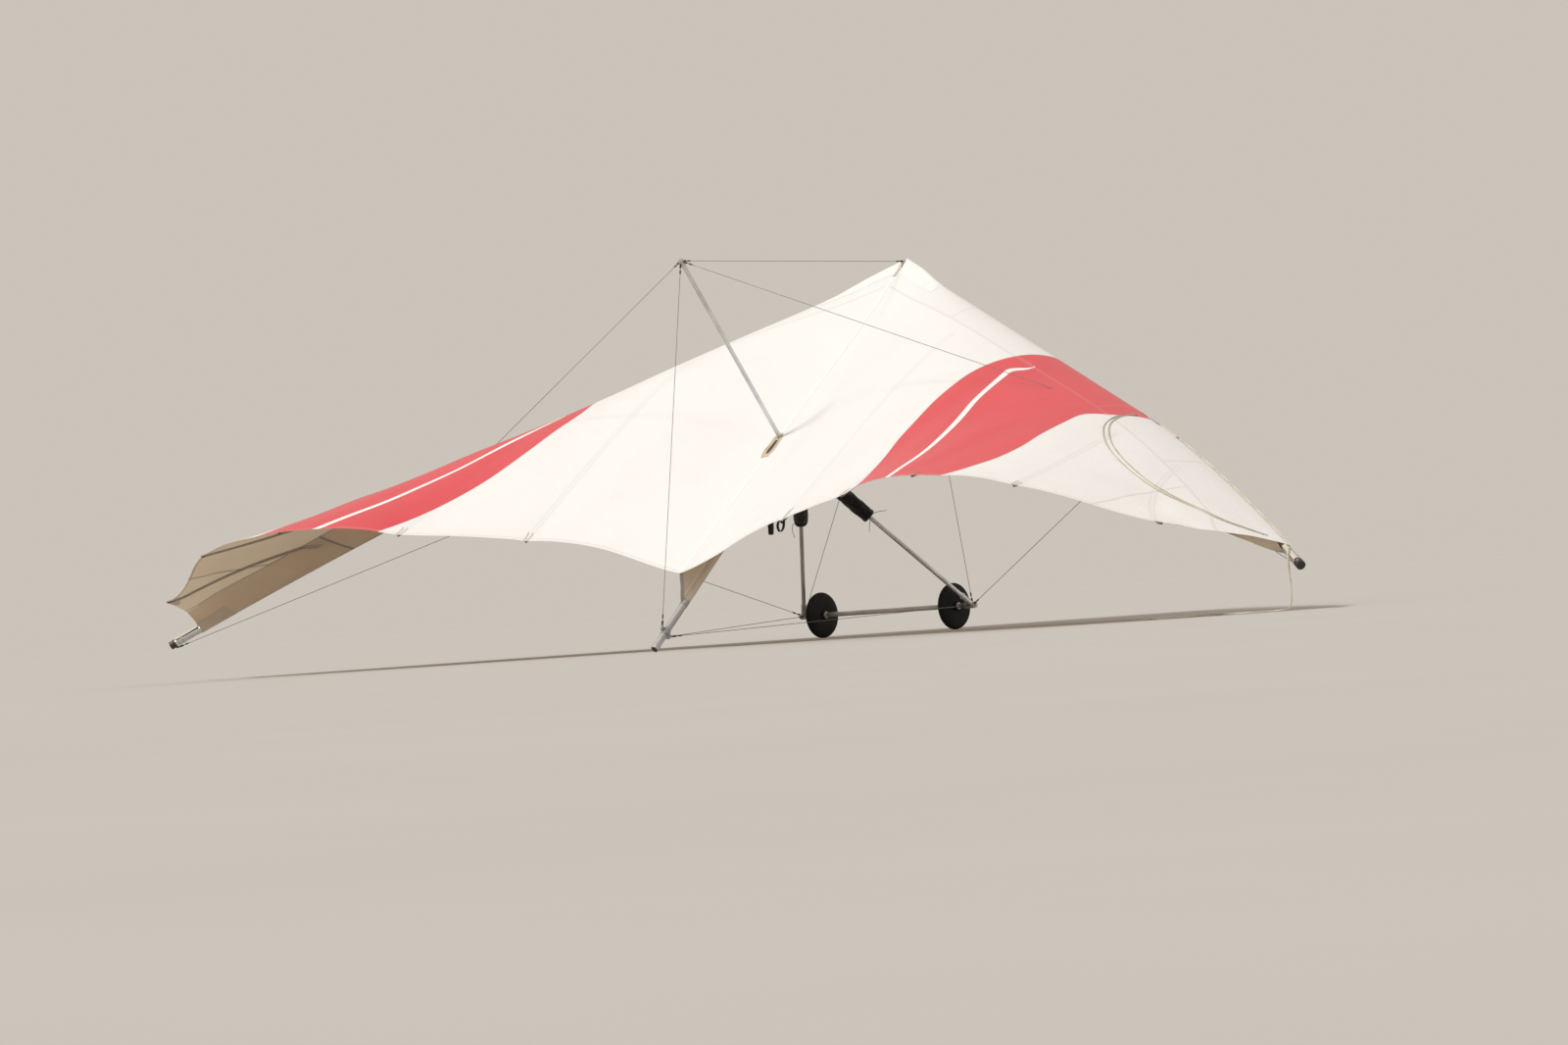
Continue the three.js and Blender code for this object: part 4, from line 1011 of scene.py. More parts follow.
def cloth_values(facts):
    """The numbers that the sailcloth's look reads at each point."""
    u = facts[..., 3]
    share = facts[..., 0] / SPAN_LE
    # The stripe narrows and hooks outboard where it meets the pocket's seam.
    hook = 0.030 * ease(0.20 - u, 0.0, 0.075)
    narrowing = 1 - ease(0.17 - u, 0, 0.05) * 0.8
    stripe = (share - ease_table(BAND_STRIPE, u) - hook) * SPAN_LE / narrowing
    values = {
        "span": facts[..., 0], "aft": facts[..., 1], "fore": facts[..., 2], "chord": u,
        "inner": (share - ease_table(BAND_INNER, np.clip(u, 0, 1))) * SPAN_LE,
        "outer": (ease_table(BAND_OUTER, np.clip(u, 0, 1)) - share) * SPAN_LE,
        "tip": (share - 0.851 - 0.051 * u) * SPAN_LE,
        "stripe": np.where(u < 0.115, 1.0, stripe),
    }
    for n in range(len(BATTENS)):
        values[f"batten_{n + 1}"] = (share - batten_share(n, u)) * SPAN_LE
    return {name: np.tile(value.reshape(-1), 2) for name, value in values.items()}


def sail_faces(keep, n, m):
    """Both faces of the cloth where it is kept, their looks, and the edges that join them."""
    faces, index = [], []

    def at(layer, r, i):
        return layer * n * m + r * m + i

    for r, i in np.argwhere(keep).tolist():
        faces.append([at(0, r, i), at(0, r + 1, i), at(0, r + 1, i + 1), at(0, r, i + 1)])
        faces.append([at(1, r, i), at(1, r, i + 1), at(1, r + 1, i + 1), at(1, r + 1, i)])
        index += [0 if i < TOP_STEPS + WRAP_STEPS // 2 else 1, 1]
        for dr, di, a, b in ((-1, 0, (r, i + 1), (r, i)), (1, 0, (r + 1, i), (r + 1, i + 1)),
                             (0, -1, (r, i), (r + 1, i)), (0, 1, (r + 1, i + 1), (r, i + 1))):
            rr, ii = r + dr, i + di
            if 0 <= rr < n - 1 and 0 <= ii < m - 1 and keep[rr, ii]:
                continue
            faces.append([at(0, *b), at(0, *a), at(1, *a), at(1, *b)])
            index.append(0)
    return faces, index


def sail():
    rows, facts = sail_grid()
    n, m = rows.shape[:2]
    normal = np.cross(np.gradient(rows, axis=0), np.gradient(rows, axis=1))
    normal /= np.linalg.norm(normal, axis=2)[..., None]
    if normal[n // 2, 5, 2] < 0:
        normal = -normal
    flat = np.vstack([(rows + normal * off).reshape(-1, 3) for off in (CLOTH / 2, -CLOTH / 2)])
    flat[:, 0] = np.maximum(flat[:, 0], 0.0004)
    keep = ~blocked((rows[:-1, :-1] + rows[1:, 1:] + rows[:-1, 1:] + rows[1:, :-1]) / 4)
    pocket_ends(rows, normal)
    faces, index = sail_faces(keep, n, m)
    values = cloth_values(facts)
    for flip, word in SIDES:
        turned = faces if flip[0] > 0 else [f[::-1] for f in faces]
        obj = piece(f"sail_cloth_{word}", flat * flip, turned, ("sail", "under"), index=index, sharp=50,
                    node=f"sail_{word}")
        write_values(obj, values)
        with edited(obj.data) as mesh:
            bmesh.ops.delete(mesh, geom=[v for v in mesh.verts if not v.link_faces], context="VERTS")


sail()


# Battens in their pockets.
BATTEN_TIP = 0.992
POCKET_HALF, POCKET_SWELL, PLUG_SIDES, STRING_RADIUS = 0.017, 0.0135, 12, 0.0015


def batten_edge(n, u, beside=0.0, up=0.0):
    """A point of the cloth at a batten's axis, or beside it."""
    return surface(batten_share(n, u) + beside / SPAN_LE, u, up)


def batten_pocket(n, front):
    """A tube of cloth, open above, that hangs under the sail along a batten."""
    us = np.linspace(front, 0.994, 44)
    swell = POCKET_SWELL * (ease(us, us[0], us[0] + 0.02) * 0.9 + 0.1)
    # The cloth curves most near the front, so the pocket lies a little deeper there.
    depth = CLOTH / 2 + 0.0009 + 0.0028 * (1 - ease(us, front + 0.12, front + 0.34))
    around = np.linspace(0, math.pi, 9)
    return skin([[batten_edge(n, u, POCKET_HALF * math.cos(t), -depth[i] - swell[i] * math.sin(t) ** 0.8)
                  for t in around] for i, u in enumerate(us)])


def battens():
    """The pockets, each with its batten's end plug and the string that ties it over the cloth's edge."""
    strings, plugs = ([], []), ([], [])
    for n, (_, front, _) in enumerate(BATTENS):
        pair(f"batten_pocket_{n + 1}", [batten_pocket(n, front)], "batten_pocket", node=f"batten_{n + 1}",
             sharp=70)
        side = unit(batten_edge(n, 0.99, 0.003) - batten_edge(n, 0.99, -0.003))
        tip = batten_edge(n, BATTEN_TIP, 0.0, -0.008)
        out = unit(batten_edge(n, 1.0) - batten_edge(n, 0.97))
        for (flip, _), own_strings, own_plugs in zip(SIDES, strings, plugs):
            own_plugs.append(lathe([(-0.030, 0.0052), (0.010, 0.0056), (0.022, 0.0054), (0.026, 0.003)],
                                   tip * flip, out * flip, PLUG_SIDES))
            for k in (-1, 1):
                sway = side * 0.009 * k
                reach = 0.055 + 0.035 * ((n * 7 + k * 3 + flip[0]) % 5) / 5
                line = [tip - out * 0.02 + sway * 0.4, tip + out * 0.016 + sway * 0.6,
                        tip + out * 0.022 + [0, 0, 0.012] + sway,
                        tip - out * reach * 0.5 + [0, 0, 0.0135] + sway * 1.6,
                        tip - out * reach + [0, 0, 0.0135] + sway * (2.0 + k)]
                own_strings.append(tube(smooth(np.array(line) * flip, 24), STRING_RADIUS, 6))
    for (_, word), own_strings, own_plugs in zip(SIDES, strings, plugs):
        piece(f"batten_strings_{word}", *merged(own_strings), "rope_plain", sharp=180)
        piece(f"batten_plugs_{word}", *merged(own_plugs), "plastic")


battens()


# Reinforcements of the sail.
def patch(share, u, half, low, high, offset, steps, shape=None):
    """A thin patch under the sail, about a share of the span, with its ends at low and high about u."""
    def bent(s, v):
        return shape(s, v) if shape else (s, v)

    shares = np.linspace(share - half / SPAN_LE, share + half / SPAN_LE, steps[0])
    verts, faces = slab([[surface(*bent(s, v), offset) for v in np.linspace(u + low, u + high, steps[1])]
                         for s in shares], [0, 0, -0.0009], caps=False)
    # The first and the last row are bent, so they are closed by quads.
    ring = 2 * steps[1]
    for base in (0, len(verts) - ring):
        for i in range(steps[1] - 1):
            faces.append([base + k for k in (i, i + 1, ring - 2 - i, ring - 1 - i)])
    return verts, faces


def reinforcements():
    """Rounded patches under the battens' ends and stitched squares at their fronts."""
    under, dark = [], []
    for n, (share, front, back) in enumerate(BATTENS):
        last = n == len(BATTENS) - 1
        wide, deep = (0.080, 0.105) if last else (0.045, 0.060)
        deep /= Rib(back).length

        def round_off(s, v, back=back, deep=deep):
            t = min(1, (BATTEN_TIP - v) / deep)
            return min(back + (s - back) * math.sqrt(max(0.04, 1 - t * t)), 0.9995), v

        under.append(patch(back, BATTEN_TIP, wide, -deep, 0.0, -0.0016, (9, 8), round_off))
        size = 0.046 if last else 0.027
        deep = size / Rib(share).length
        dark.append(patch(share, front, size, -deep, deep, -0.0022, (6, 6)))
    pair("batten_end_patches", under, "patch", sharp=60)
    pair("batten_front_patches", dark, "lattice", sharp=60)


reinforcements()


def stitching():
    """Rows of stitches: the hem, the tip panel's seam, and both sides of each batten's pocket."""
    hem, below = [], []
    for d in (0.006, 0.021):
        hem.append([surface(share, 1 - (scallop(share) + d) / Rib(share).length, 0.0009)
                    for share in np.linspace(0.012, 0.995, 260)])
    for side in (-0.004, 0.004):
        hem.append([surface(0.851 + 0.051 * u + side / SPAN_LE, u, 0.0009)
                    for u in np.linspace(0.30, 0.99, 60)])
    for n, (_, front, _) in enumerate(BATTENS):
        for side in (-0.0195, 0.0195):
            below.append([surface(min(batten_share(n, u) + side / SPAN_LE, 0.9995), u, -0.0009)
                          for u in np.linspace(front, 0.985, 90)])
    thread = LOOKS["thread"][0]
    for rows, up, name, tree in (
            (hem, 1, "hem_stitches", stitch_tree("hem_stitches", thread, 0.0085, 0.0056, 0.0013, 0.0009)),
            (below, -1, "batten_pocket_stitches",
             stitch_tree("pocket_stitches", thread, 0.0115, 0.0062, 0.0014, 0.0009))):
        for flip, word in SIDES:
            verts, edges = [], []
            for row in rows:
                edges += [(len(verts) + i, len(verts) + i + 1) for i in range(len(row) - 1)]
                verts += list(np.array(row) * flip)
            tree.grow(f"{name}_{word}", verts, edges, "sailcloth",
                      up=np.tile([0.0, 0.0, up], (len(verts), 1)))


stitching()

# Where the cloth is open for the kingpost, and the half breadths of the strips along its middle.
KINGPOST_SLOT = (-1.935, -1.740)
SLOT_SHADE_HALF, TAPE_HALF = 0.021, 0.018


def middle_rows(half, us, up):
    """Rows of points across the sail's middle, at a height over its surface for each share of the chord."""
    return np.array([[[x, *surface(abs(x) / SPAN_LE, u, up(u))[1:]] for u in us]
                     for x in np.linspace(-half, half, 7)])


def kingpost_slot():
    """A worn cloth border round the slot in the sail, with a dark sheet inside it that paints the shade of the
    opening.
    """
    back, front = (Rib(0).share_at(-y) for y in KINGPOST_SLOT)
    centre, half_u = (back + front) / 2, (back - front) / 2
    rings = []
    for a in np.linspace(0, 2 * math.pi, 40, endpoint=False):
        wobble = 1 + 0.05 * math.sin(3 * a + 1) + 0.04 * math.sin(7 * a)
        across = np.sign(math.cos(a)) * abs(math.cos(a)) ** 0.7
        along_ = np.sign(math.sin(a)) * abs(math.sin(a)) ** 0.8
        ring = []
        for grow_x, grow_u in ((0.016, 0.86), (0.026, 1.0), (0.035, 1.12), (0.044, 1.24)):
            x = grow_x * wobble * across
            at = surface(abs(x) / SPAN_LE, centre + half_u * grow_u * wobble * along_, 0.0016)
            ring.append([x, *at[1:]])
        rings.append(ring)
    rings = np.array(rings + rings[:1])
    rings = np.concatenate([rings, rings[:, ::-1] + [0, 0, CLOTH]], axis=1)
    closed("kingpost_slot_border", [skin(rings, caps=False)], "slot", sharp=60)
    # A dark sheet under the opening: painted shade of the hole round the kingpost.
    us = np.linspace(centre - half_u * 0.62, back + half_u * 0.12, 12)
    rows = middle_rows(SLOT_SHADE_HALF, us, lambda u: -0.0035 - 0.002 * math.sin(40 * u))
    closed("kingpost_slot_shade_sheet", [slab(rows, [0, 0, -CLOTH])], "gusset", sharp=60)


def keel_tape():
    """Sewn tape over the seam where the sail's halves meet, ahead of the kingpost's slot and behind it."""
    back, front = (Rib(0).share_at(-y) for y in KINGPOST_SLOT)
    for word, start, finish in (("front", 0.034, front - 0.007), ("rear", back + 0.007, 0.9985)):
        rows = middle_rows(TAPE_HALF, np.linspace(start, finish, 70), lambda u: 0.0010)
        closed(f"keel_tape_{word}", [slab(rows.swapaxes(0, 1), [0, 0, 0.0008])], "sail_plain", sharp=60)


kingpost_slot()
keel_tape()

NOSE_COVER = np.array([[-0.050, -0.014], [-0.0525, 0.004], [-0.052, 0.018], [-0.048, 0.029], [-0.038, 0.0355],
                       [-0.020, 0.0385], [0.006, 0.040], [0.034, 0.040], [0.064, 0.040], [0.094, 0.040]])
NOSE_COVER_END, NOSE_COVER_RADIUS = 0.105, 0.0292


def nose_cover():
    """Cloth that covers the nose plates from above and joins the two halves of the sail."""
    rows = []
    angle = np.linspace(-0.25, 1.9, 7)
    beyond = np.array([[0.030, 0], [0.062, 0], [0.094, 0]])
    for share in np.linspace(0, NOSE_COVER_END, 40):
        rib = Rib(share)
        snug = np.stack([-np.cos(angle) * NOSE_COVER_RADIUS,
                         np.sin(angle) * (NOSE_COVER_RADIUS + rib.lift)], 1)
        eased = ease(share, 0.034, NOSE_COVER_END)
        line = NOSE_COVER * (1 - eased) + np.vstack([snug, beyond]) * eased
        u = rib.share_at(np.maximum(line[6:, 0], 0.002))
        line[6:, 1] = [surface(share, one)[2] - rib.front[2] + 0.0022 for one in u]
        line[5, 1] = max(line[5, 1], line[6, 1] - 0.001) * (1 - eased) + line[5, 1] * eased
        line[:, 0] *= np.where(line[:, 0] < 0, rib.nose / POCKET_RADIUS, 1)
        rows.append(rib.place(line))
    rows = np.array(rows)
    rows[0, :, 0] = 0.0
    pair("sail_nose_cover", [slab(rows, [0, 0, -0.0011])], "sail_plain", sharp=50)


nose_cover()

POCKET_FRONT, POCKET_BACK_TOP, POCKET_BACK_FOOT = -2.110, -3.080, -3.210
POCKET_SLEEVE, POCKET_WEB = 0.0258, 0.0011
POCKET_RINGS, POCKET_ROWS, SLEEVE_STEPS = 44, 14, 20


def keel_pocket():
    """The cloth fin that hangs from the sail, with a lighter sleeve round the keel."""
    root = Rib(0)
    high = np.linspace(0, 1, POCKET_ROWS)
    start = math.asin(POCKET_WEB / POCKET_SLEEVE)
    angles = np.linspace(start, 2 * math.pi - start, SLEEVE_STEPS)
    rings = []
    for t in np.linspace(0, 1, POCKET_RINGS):
        top_y = POCKET_FRONT + (POCKET_BACK_TOP - POCKET_FRONT) * t
        foot_y = POCKET_FRONT + (POCKET_BACK_FOOT - POCKET_FRONT) * t
        top_z = root.top(root.share_at(-top_y))[1] - 0.0012
        lean = 0.0045 * np.sin(high * math.pi) * math.sin(t * 9) + 0.002 * np.sin(high * 9 + t * 23)
        lean *= np.sin(high * math.pi)
        ys = top_y + (foot_y - top_y) * high
        zs = top_z + (POCKET_SLEEVE - top_z) * high
        right, left = (np.stack([web + lean, ys, zs], 1)[:-1] for web in (POCKET_WEB, -POCKET_WEB))
        around = np.stack([POCKET_SLEEVE * np.sin(angles), 0 * angles + foot_y,
                           POCKET_SLEEVE * np.cos(angles)], 1)
        rings.append(np.vstack([right, around, left[::-1]]))
    obj = closed("keel_pocket_cloth", [skin(rings)], "pocket", sharp=50, node="keel_pocket")
    heights = np.concatenate([high[:-1], np.ones(SLEEVE_STEPS), high[-2::-1]])
    write_values(obj, {"height": np.tile(heights, POCKET_RINGS),
                       "run": np.repeat(np.linspace(0, 1, POCKET_RINGS), len(heights))})


keel_pocket()

# Airframe tubes.
CROSS_END = leading_edge(JUNCTION_X) - [0, 0, JUNCTION_DROP]
BROKEN_EDGE = 0.0012


def bar(start, finish, radius, sides=40):
    """A drawn tube with broken edges at both ends."""
    length = np.linalg.norm(np.subtract(finish, start))
    at = [0, BROKEN_EDGE, *np.linspace(0.02, length - 0.02, 12), length - BROKEN_EDGE, length]
    radii = np.full(len(at), radius)
    radii[[0, -1]] -= BROKEN_EDGE
    return [tube([towards(start, finish, d) for d in at], radii, sides)]


def airframe_tubes():
    closed("keel_bar", bar([0, KEEL_FRONT, 0], [0, KEEL_TAIL + 0.0043, 0], KEEL_RADIUS), "tube", sharp=40,
           node="keel_tube")
    closed("kingpost_bar", bar(towards(KINGPOST_FOOT, KINGPOST_TOP, 0.014), KINGPOST_TOP, 0.014), "tube",
           sharp=40, node="kingpost")
    line = np.array([leading_edge(x) for x in np.linspace(LE_START, LE_END[0], 70)])
    pair("leading_edge_bar", [tube(line, LE_RADIUS, 40)], "tube", sharp=40, node="leading_edge")
    pair("crossbar_bar", bar(towards(CROSS_CENTRE, CROSS_END, 0.003), towards(CROSS_END, CROSS_CENTRE, 0.106),
                             0.025), "crossbar", sharp=40, node="crossbar")
    pair("downtube_bar", bar(towards(APEX, CORNER, 0.030), towards(CORNER, APEX, 0.030), 0.014, 32), "tube",
         sharp=40, node="downtube")


airframe_tubes()


# Straps and end fittings.
def cloth_strap(name, path, width, thick, ups, look, loop=False, **more):
    """Webbing with its own run and breadth kept for the weave."""
    path = np.asarray(path, float)
    side, up, _ = bands(path, np.broadcast_to(ups, path.shape))
    h, w = thick / 2, width / 2
    outline = [(-w, -h * 0.5), (-w + h, -h), (0, -h), (w - h, -h), (w, -h * 0.5),
               (w, h * 0.5), (w - h, h), (0, h), (-w + h, h), (-w, h * 0.5)]
    rings = swept(path, side, up, outline)
    way = travelled(path)
    if loop:
        rings = np.concatenate([rings, rings[:1]])
        way = np.append(way, way[-1] + np.linalg.norm(path[0] - path[-1]))
    obj = closed(name, [skin(rings, caps=not loop)], look, sharp=50, **more)
    write_values(obj, {"along": np.repeat(way, len(outline)),
                       "across": np.tile([x for x, _ in outline], len(way))})
    return obj


def tip_and_tail_ends():
    """A black plug in the keel's open end, and rings and a strap on each leading edge's end."""
    end = leading_edge(LE_END[0])
    out = unit(end - leading_edge(LE_END[0] - 0.02))
    rings = [lathe([(at, 0.0256), (at + 0.001, radius), (to - 0.001, radius), (to, 0.0256)], end, out, 36)
             for at, to, radius in ((-0.102, -0.087, 0.0272), (-0.070, -0.061, 0.0266))]
    pair("tip_rings", rings, "steel")
    up = unit(np.cross(np.cross(out, [0, 0, 1]), out))
    line = smooth([end + out * d + up * h for d, h in ((-0.235, 0.034), (-0.16, 0.031), (-0.09, 0.030),
                                                       (-0.045, 0.031))], 20)
    for flip, word in SIDES:
        cloth_strap(f"tip_strap_{word}", line * flip, 0.026, 0.002, up * flip, "strap")
    plug = [(0.0002, 0.0195), (0.0012, 0.0205), (0.0016, 0.0185), (0.0006, 0.012), (0.0004, 0.002)]
    closed("keel_tail_plug", [lathe(plug, [0, KEEL_TAIL, 0], [0, -1, 0], 36)], "plastic")


def cream_webbing():
    """A pull tab at the nose, and a flap that ties the cloth's edge to each junction of the crossbar."""
    tab = [surface(0, Rib(0).share_at(d), 0.0052) for d in (0.135, 0.085, 0.040)]
    tab += [[0, 0.006, 0.0462], [0, 0.019, 0.0440], [0, 0.026, 0.0395]]
    cloth_strap("nose_pull_tab", smooth(tab, 24), 0.022, 0.0022, [0, 0, 1], "strap")
    flap = [leading_edge(JUNCTION_X + d) + [0, 0, 0.0400] for d in (0.015, 0.075)]
    for d in (0.150, 0.215, 0.290):
        on_cloth, middle = surface((JUNCTION_X + d) / SPAN_LE, 0.004), leading_edge(JUNCTION_X + d)
        flap.append(on_cloth + unit(on_cloth - middle) * 0.0035)
    flap = smooth(flap, 30)
    ups = np.array([p - leading_edge(p[0]) for p in flap])
    for flip, word in SIDES:
        cloth_strap(f"junction_flap_{word}", flap * flip, 0.026, 0.0022, ups * flip, "strap")


def junction_shackles():
    """The black shackle that stands out of each junction's mouth, with its pin."""
    middle = leading_edge(JUNCTION_X) + [0, -0.006, 0]
    a = np.linspace(0, math.pi, 12)
    bow = np.stack([0.015 * np.cos(a), 0 * a, 0.054 + 0.013 * np.sin(a)], 1)
    path = np.vstack([[0.015, 0, 0.034], [0.015, 0, 0.044], bow, [-0.015, 0, 0.044], [-0.015, 0, 0.034]])
    pin = [(-0.024, 0.002), (-0.0235, 0.0062), (-0.0185, 0.0062), (-0.0183, 0.0034), (0.0183, 0.0034),
           (0.0185, 0.0058), (0.0235, 0.0058), (0.024, 0.002)]
    pair("junction_shackle", [tube(path + middle, 0.0042, 10, up=[0, 1, 0]),
                              lathe(pin, middle + [0, 0, 0.043], [1, 0, 0], 12)], "plastic", slot="fitting")


tip_and_tail_ends()
cream_webbing()
junction_shackles()


# Rigging wires.
def points_of_rigging():
    middle = leading_edge(JUNCTION_X)
    post_top = towards(CROSS_CENTRE, CROSS_END, 2.680)
    return {
        "top": KINGPOST_TOP + [0, 0, 0.004], "junction_top": middle + [0, 0, 0.036],
        "junction_foot": middle + [-0.020, 0, -0.040], "nose_top": np.array([0, 0.022, 0.034]),
        "nose_foot": np.array([0.014, 0.016, -0.042]), "nose_side": np.array([0.038, 0.004, -0.042]),
        "rear_top": np.array([0, -3.450, 0.040]), "rear_foot": np.array([0.009, -3.450, -0.038]),
        "edge_end": LE_END + [-0.022, 0.016, -0.036], "post_foot": post_top + [0, 0, -0.200],
        "corner": CORNER,
    }


WIRES = {
    "lower_front": ("nose_foot", "corner"), "lower_rear": ("rear_foot", "corner"),
    "lower_side": ("junction_foot", "corner"), "upper_side": ("top", "junction_top"),
    "upper_front": ("top", "nose_top"), "upper_rear": ("top", "rear_top"),
    "truss_outer": ("edge_end", "post_foot"), "truss_inner": ("nose_side", "post_foot"),
}
WIRE_RADIUS = 0.0019
# The two sleeves pressed on each end of a wire: distance from the end, and radius.
SWAGES = ([(0.018, 0.0035), (0.020, 0.0062), (0.046, 0.0062), (0.048, 0.0035)],
          [(0.060, 0.0028), (0.061, 0.0046), (0.086, 0.0046), (0.087, 0.0028)])


def thimble(at, way):
    """The steel teardrop that keeps the eye of a wire round."""
    side = unit(np.cross(way, [0.3, 0.2, 1]))
    a = np.linspace(0, 2 * math.pi, 28, endpoint=False)
    ring = at + np.sin(a)[:, None] * side * 0.0075 + ((1 - np.cos(a)) * 0.010)[:, None] * way
    return tube(np.vstack([ring, ring[:1]]), WIRE_RADIUS, 8, up=np.cross(way, side), caps=False)


def rigging():
    at = points_of_rigging()
    swages, eyes = [], []
    for name, (a, b) in WIRES.items():
        beside = at[a][0] or at[b][0]
        for flip, word in SIDES if beside else SIDES[:1]:
            start, end = at[a] * flip, at[b] * flip
            own = f"{name}_{word}" if beside else name
            length = np.linalg.norm(end - start)
            steps = [towards(start, end, d) for d in np.linspace(0.020, length - 0.020, 24)]
            closed(f"cable_{own}", [tube(steps, WIRE_RADIUS, 8)], "cable", sharp=180, node=f"wire_{own}")
            for one, other in ((start, end), (end, start)):
                way = unit(other - one)
                eyes.append(thimble(one, way))
                swages += [lathe(rows, one, way, 14) for rows in SWAGES]
    closed("wire_swages", swages, "swage")
    closed("wire_thimbles", eyes, "steel", slot="wire")


rigging()

# Fittings: the solid of each, the name of its dressed copy, and its look. The side ones are on both sides.
FITTINGS = (("nose_bracket", "nose_plates", "fitting"), ("apex_bracket", "apex_plates", "dark_fitting"),
            ("crossbar_hub", "crossbar_hinge", "dark_fitting"),
            ("keel_rear_fitting", "keel_rear_clamp", "fitting"),
            ("keel_end_cap", "keel_end_sleeve", "tube"), ("kingpost_foot", "kingpost_saddle", "dark_fitting"),
            ("kingpost_cap", "kingpost_crown", "fitting"), ("base_bar", "base_bar_turned", "tube"))
SIDE_FITTINGS = (("junction_bracket", "junction_plates", "dark_fitting"),
                 ("truss_post", "truss_strut", "dark_fitting"),
                 ("corner_bracket", "corner_elbow", "fitting"),
                 ("leading_edge_cap", "leading_edge_plug", "plastic"))


def softened(node, name, look):
    """A copy of a machined fitting's solid with its edges broken."""
    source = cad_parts[node]
    obj = source.copy()
    obj.data = source.data.copy()
    obj.name = obj.data.name = name
    bpy.context.scene.collection.objects.link(obj)
    with edited(obj.data) as mesh:
        bmesh.ops.remove_doubles(mesh, verts=mesh.verts[:], dist=0.00002)
        bmesh.ops.dissolve_limit(mesh, angle_limit=math.radians(2), verts=mesh.verts[:], edges=mesh.edges[:])
    edge = obj.modifiers.new("edges", "BEVEL")
    edge.width, edge.segments = BROKEN_EDGE, 2
    edge.limit_method, edge.angle_limit = "ANGLE", math.radians(42)
    edge.harden_normals = True
    mesh = applied(obj)
    material, slot = LOOKS[look]
    mesh.materials.clear()
    mesh.materials.append(material)
    settle(obj, node=node)


for solid, dressed, its_look in FITTINGS:
    softened(solid, dressed, its_look)
for _, side_word in SIDES:
    for solid, dressed, its_look in SIDE_FITTINGS:
        softened(f"{solid}_{side_word}", f"{dressed}_{side_word}", its_look)


def fasteners():
    """Bolts where the plates and tubes are joined: a place, a way out and a size for each."""
    end = leading_edge(LE_END[0])
    tip_way = unit(end - leading_edge(LE_END[0] - 0.02))
    tip_up = unit(np.cross(np.cross(tip_way, [0, 0, 1]), tip_way))
    across = unit(np.cross(CORNER - APEX, [0, 0, 1]))
    upright, out = np.array([0, 0, 1]), [1, 0, 0]
    rows = [([x, y, -0.0322], -upright, 0.007)
            for x, y in ((0.042, -0.012), (0.110, -0.060), (0.150, -0.102), (0.060, -0.120))]
    rows += [([0.0278, y, z], out, 0.007) for y, z in ((-1.712, -0.020), (-1.850, -0.020), (-1.712, -0.140),
                                                       (-1.850, -0.130), (-1.780, -0.190))]
    for place in (towards(APEX, CORNER, 0.050), towards(CORNER, APEX, 0.050), towards(CORNER, APEX, 0.088)):
        rows += [(place + way * 0.0185, way, 0.0055) for way in (across, -across)]
    for start, finish, d in ((CROSS_END, CROSS_CENTRE, 0.055), (CROSS_END, CROSS_CENTRE, 0.165),
                             (CROSS_CENTRE, CROSS_END, 0.040), (CROSS_CENTRE, CROSS_END, 0.085)):
        rows += [(towards(start, finish, d) + way * 0.029, way, 0.007) for way in (upright, -upright)]
    rows += [([0.026, y, 0.024], out, 0.005) for y in (-1.772, -1.748)]
    rows += [([0.0268, -3.450, 0.0], out, 0.006), (CORNER + [0.024, 0, 0], out, 0.008)]
    rows += [(end - tip_way * 0.020 + way * 0.028, way, 0.0062) for way in (tip_up, -tip_up)]
    rows += [(np.array(at) * SIDES[1][0], np.array(way) * SIDES[1][0], size) for at, way, size in rows]
    at, way, size = (np.array(column, float) for column in zip(*rows))
    bolt_tree(LOOKS["steel"][0]).grow("airframe_fasteners", at, [], "fitting", sharp=35, way=way, size=size)


fasteners()

# Control frame padding.
PAD_RADIUS, PAD_START, PAD_LENGTH = 0.050, 0.085, 0.440
PAD_SHRINK, PAD_SWELL, PAD_VOXEL, PAD_FRAMES = 0.955, 0.0026, 0.006, 12


def blown_pad(sign, word):
    """A lumpy foam sleeve along Z, blown up as cloth: its object, and where its vertices go."""
    rows = []
    for t in np.linspace(0, 1, 60):
        end = min(t, 1 - t) * PAD_LENGTH
        swell = 1 - 0.30 * max(0, 1 - end / 0.016) ** 2
        lump = 1 + 0.022 * math.sin(t * 19 + sign) + 0.018 * math.sin(t * 41 + 2 * sign)
        rows.append((t * PAD_LENGTH, PAD_RADIUS * PAD_SHRINK * swell * lump))
    verts, faces = lathe(rows, [0, 0, 0], [0, 0, 1], 56)
    mesh = bpy.data.meshes.new("pad_start")
    mesh.from_pydata(verts.tolist(), [], faces)
    blown = link(f"downtube_foam_{word}", mesh)
    grid = blown.modifiers.new("grid", "REMESH")
    grid.mode, grid.voxel_size = "VOXEL", PAD_VOXEL
    before = places(applied(blown))
    cloth = blown.modifiers.new("cloth", "CLOTH").settings
    cloth.use_pressure = True
    cloth.uniform_pressure_force = 4
    cloth.tension_stiffness = cloth.compression_stiffness = 12
    cloth.bending_stiffness = 0.8
    cloth.effector_weights.gravity = 0
    scene = bpy.context.scene
    for number in range(1, PAD_FRAMES + 1):
        scene.frame_set(number)
    after = bpy.data.meshes.new_from_object(blown.evaluated_get(bpy.context.evaluated_depsgraph_get()))
    moved = places(after) - before
    scene.frame_set(1)
    blown.modifiers.clear()
    far = np.linalg.norm(moved, axis=1)
    return blown, before + moved * np.minimum(1, PAD_SWELL / np.maximum(far, 1e-9))[:, None]


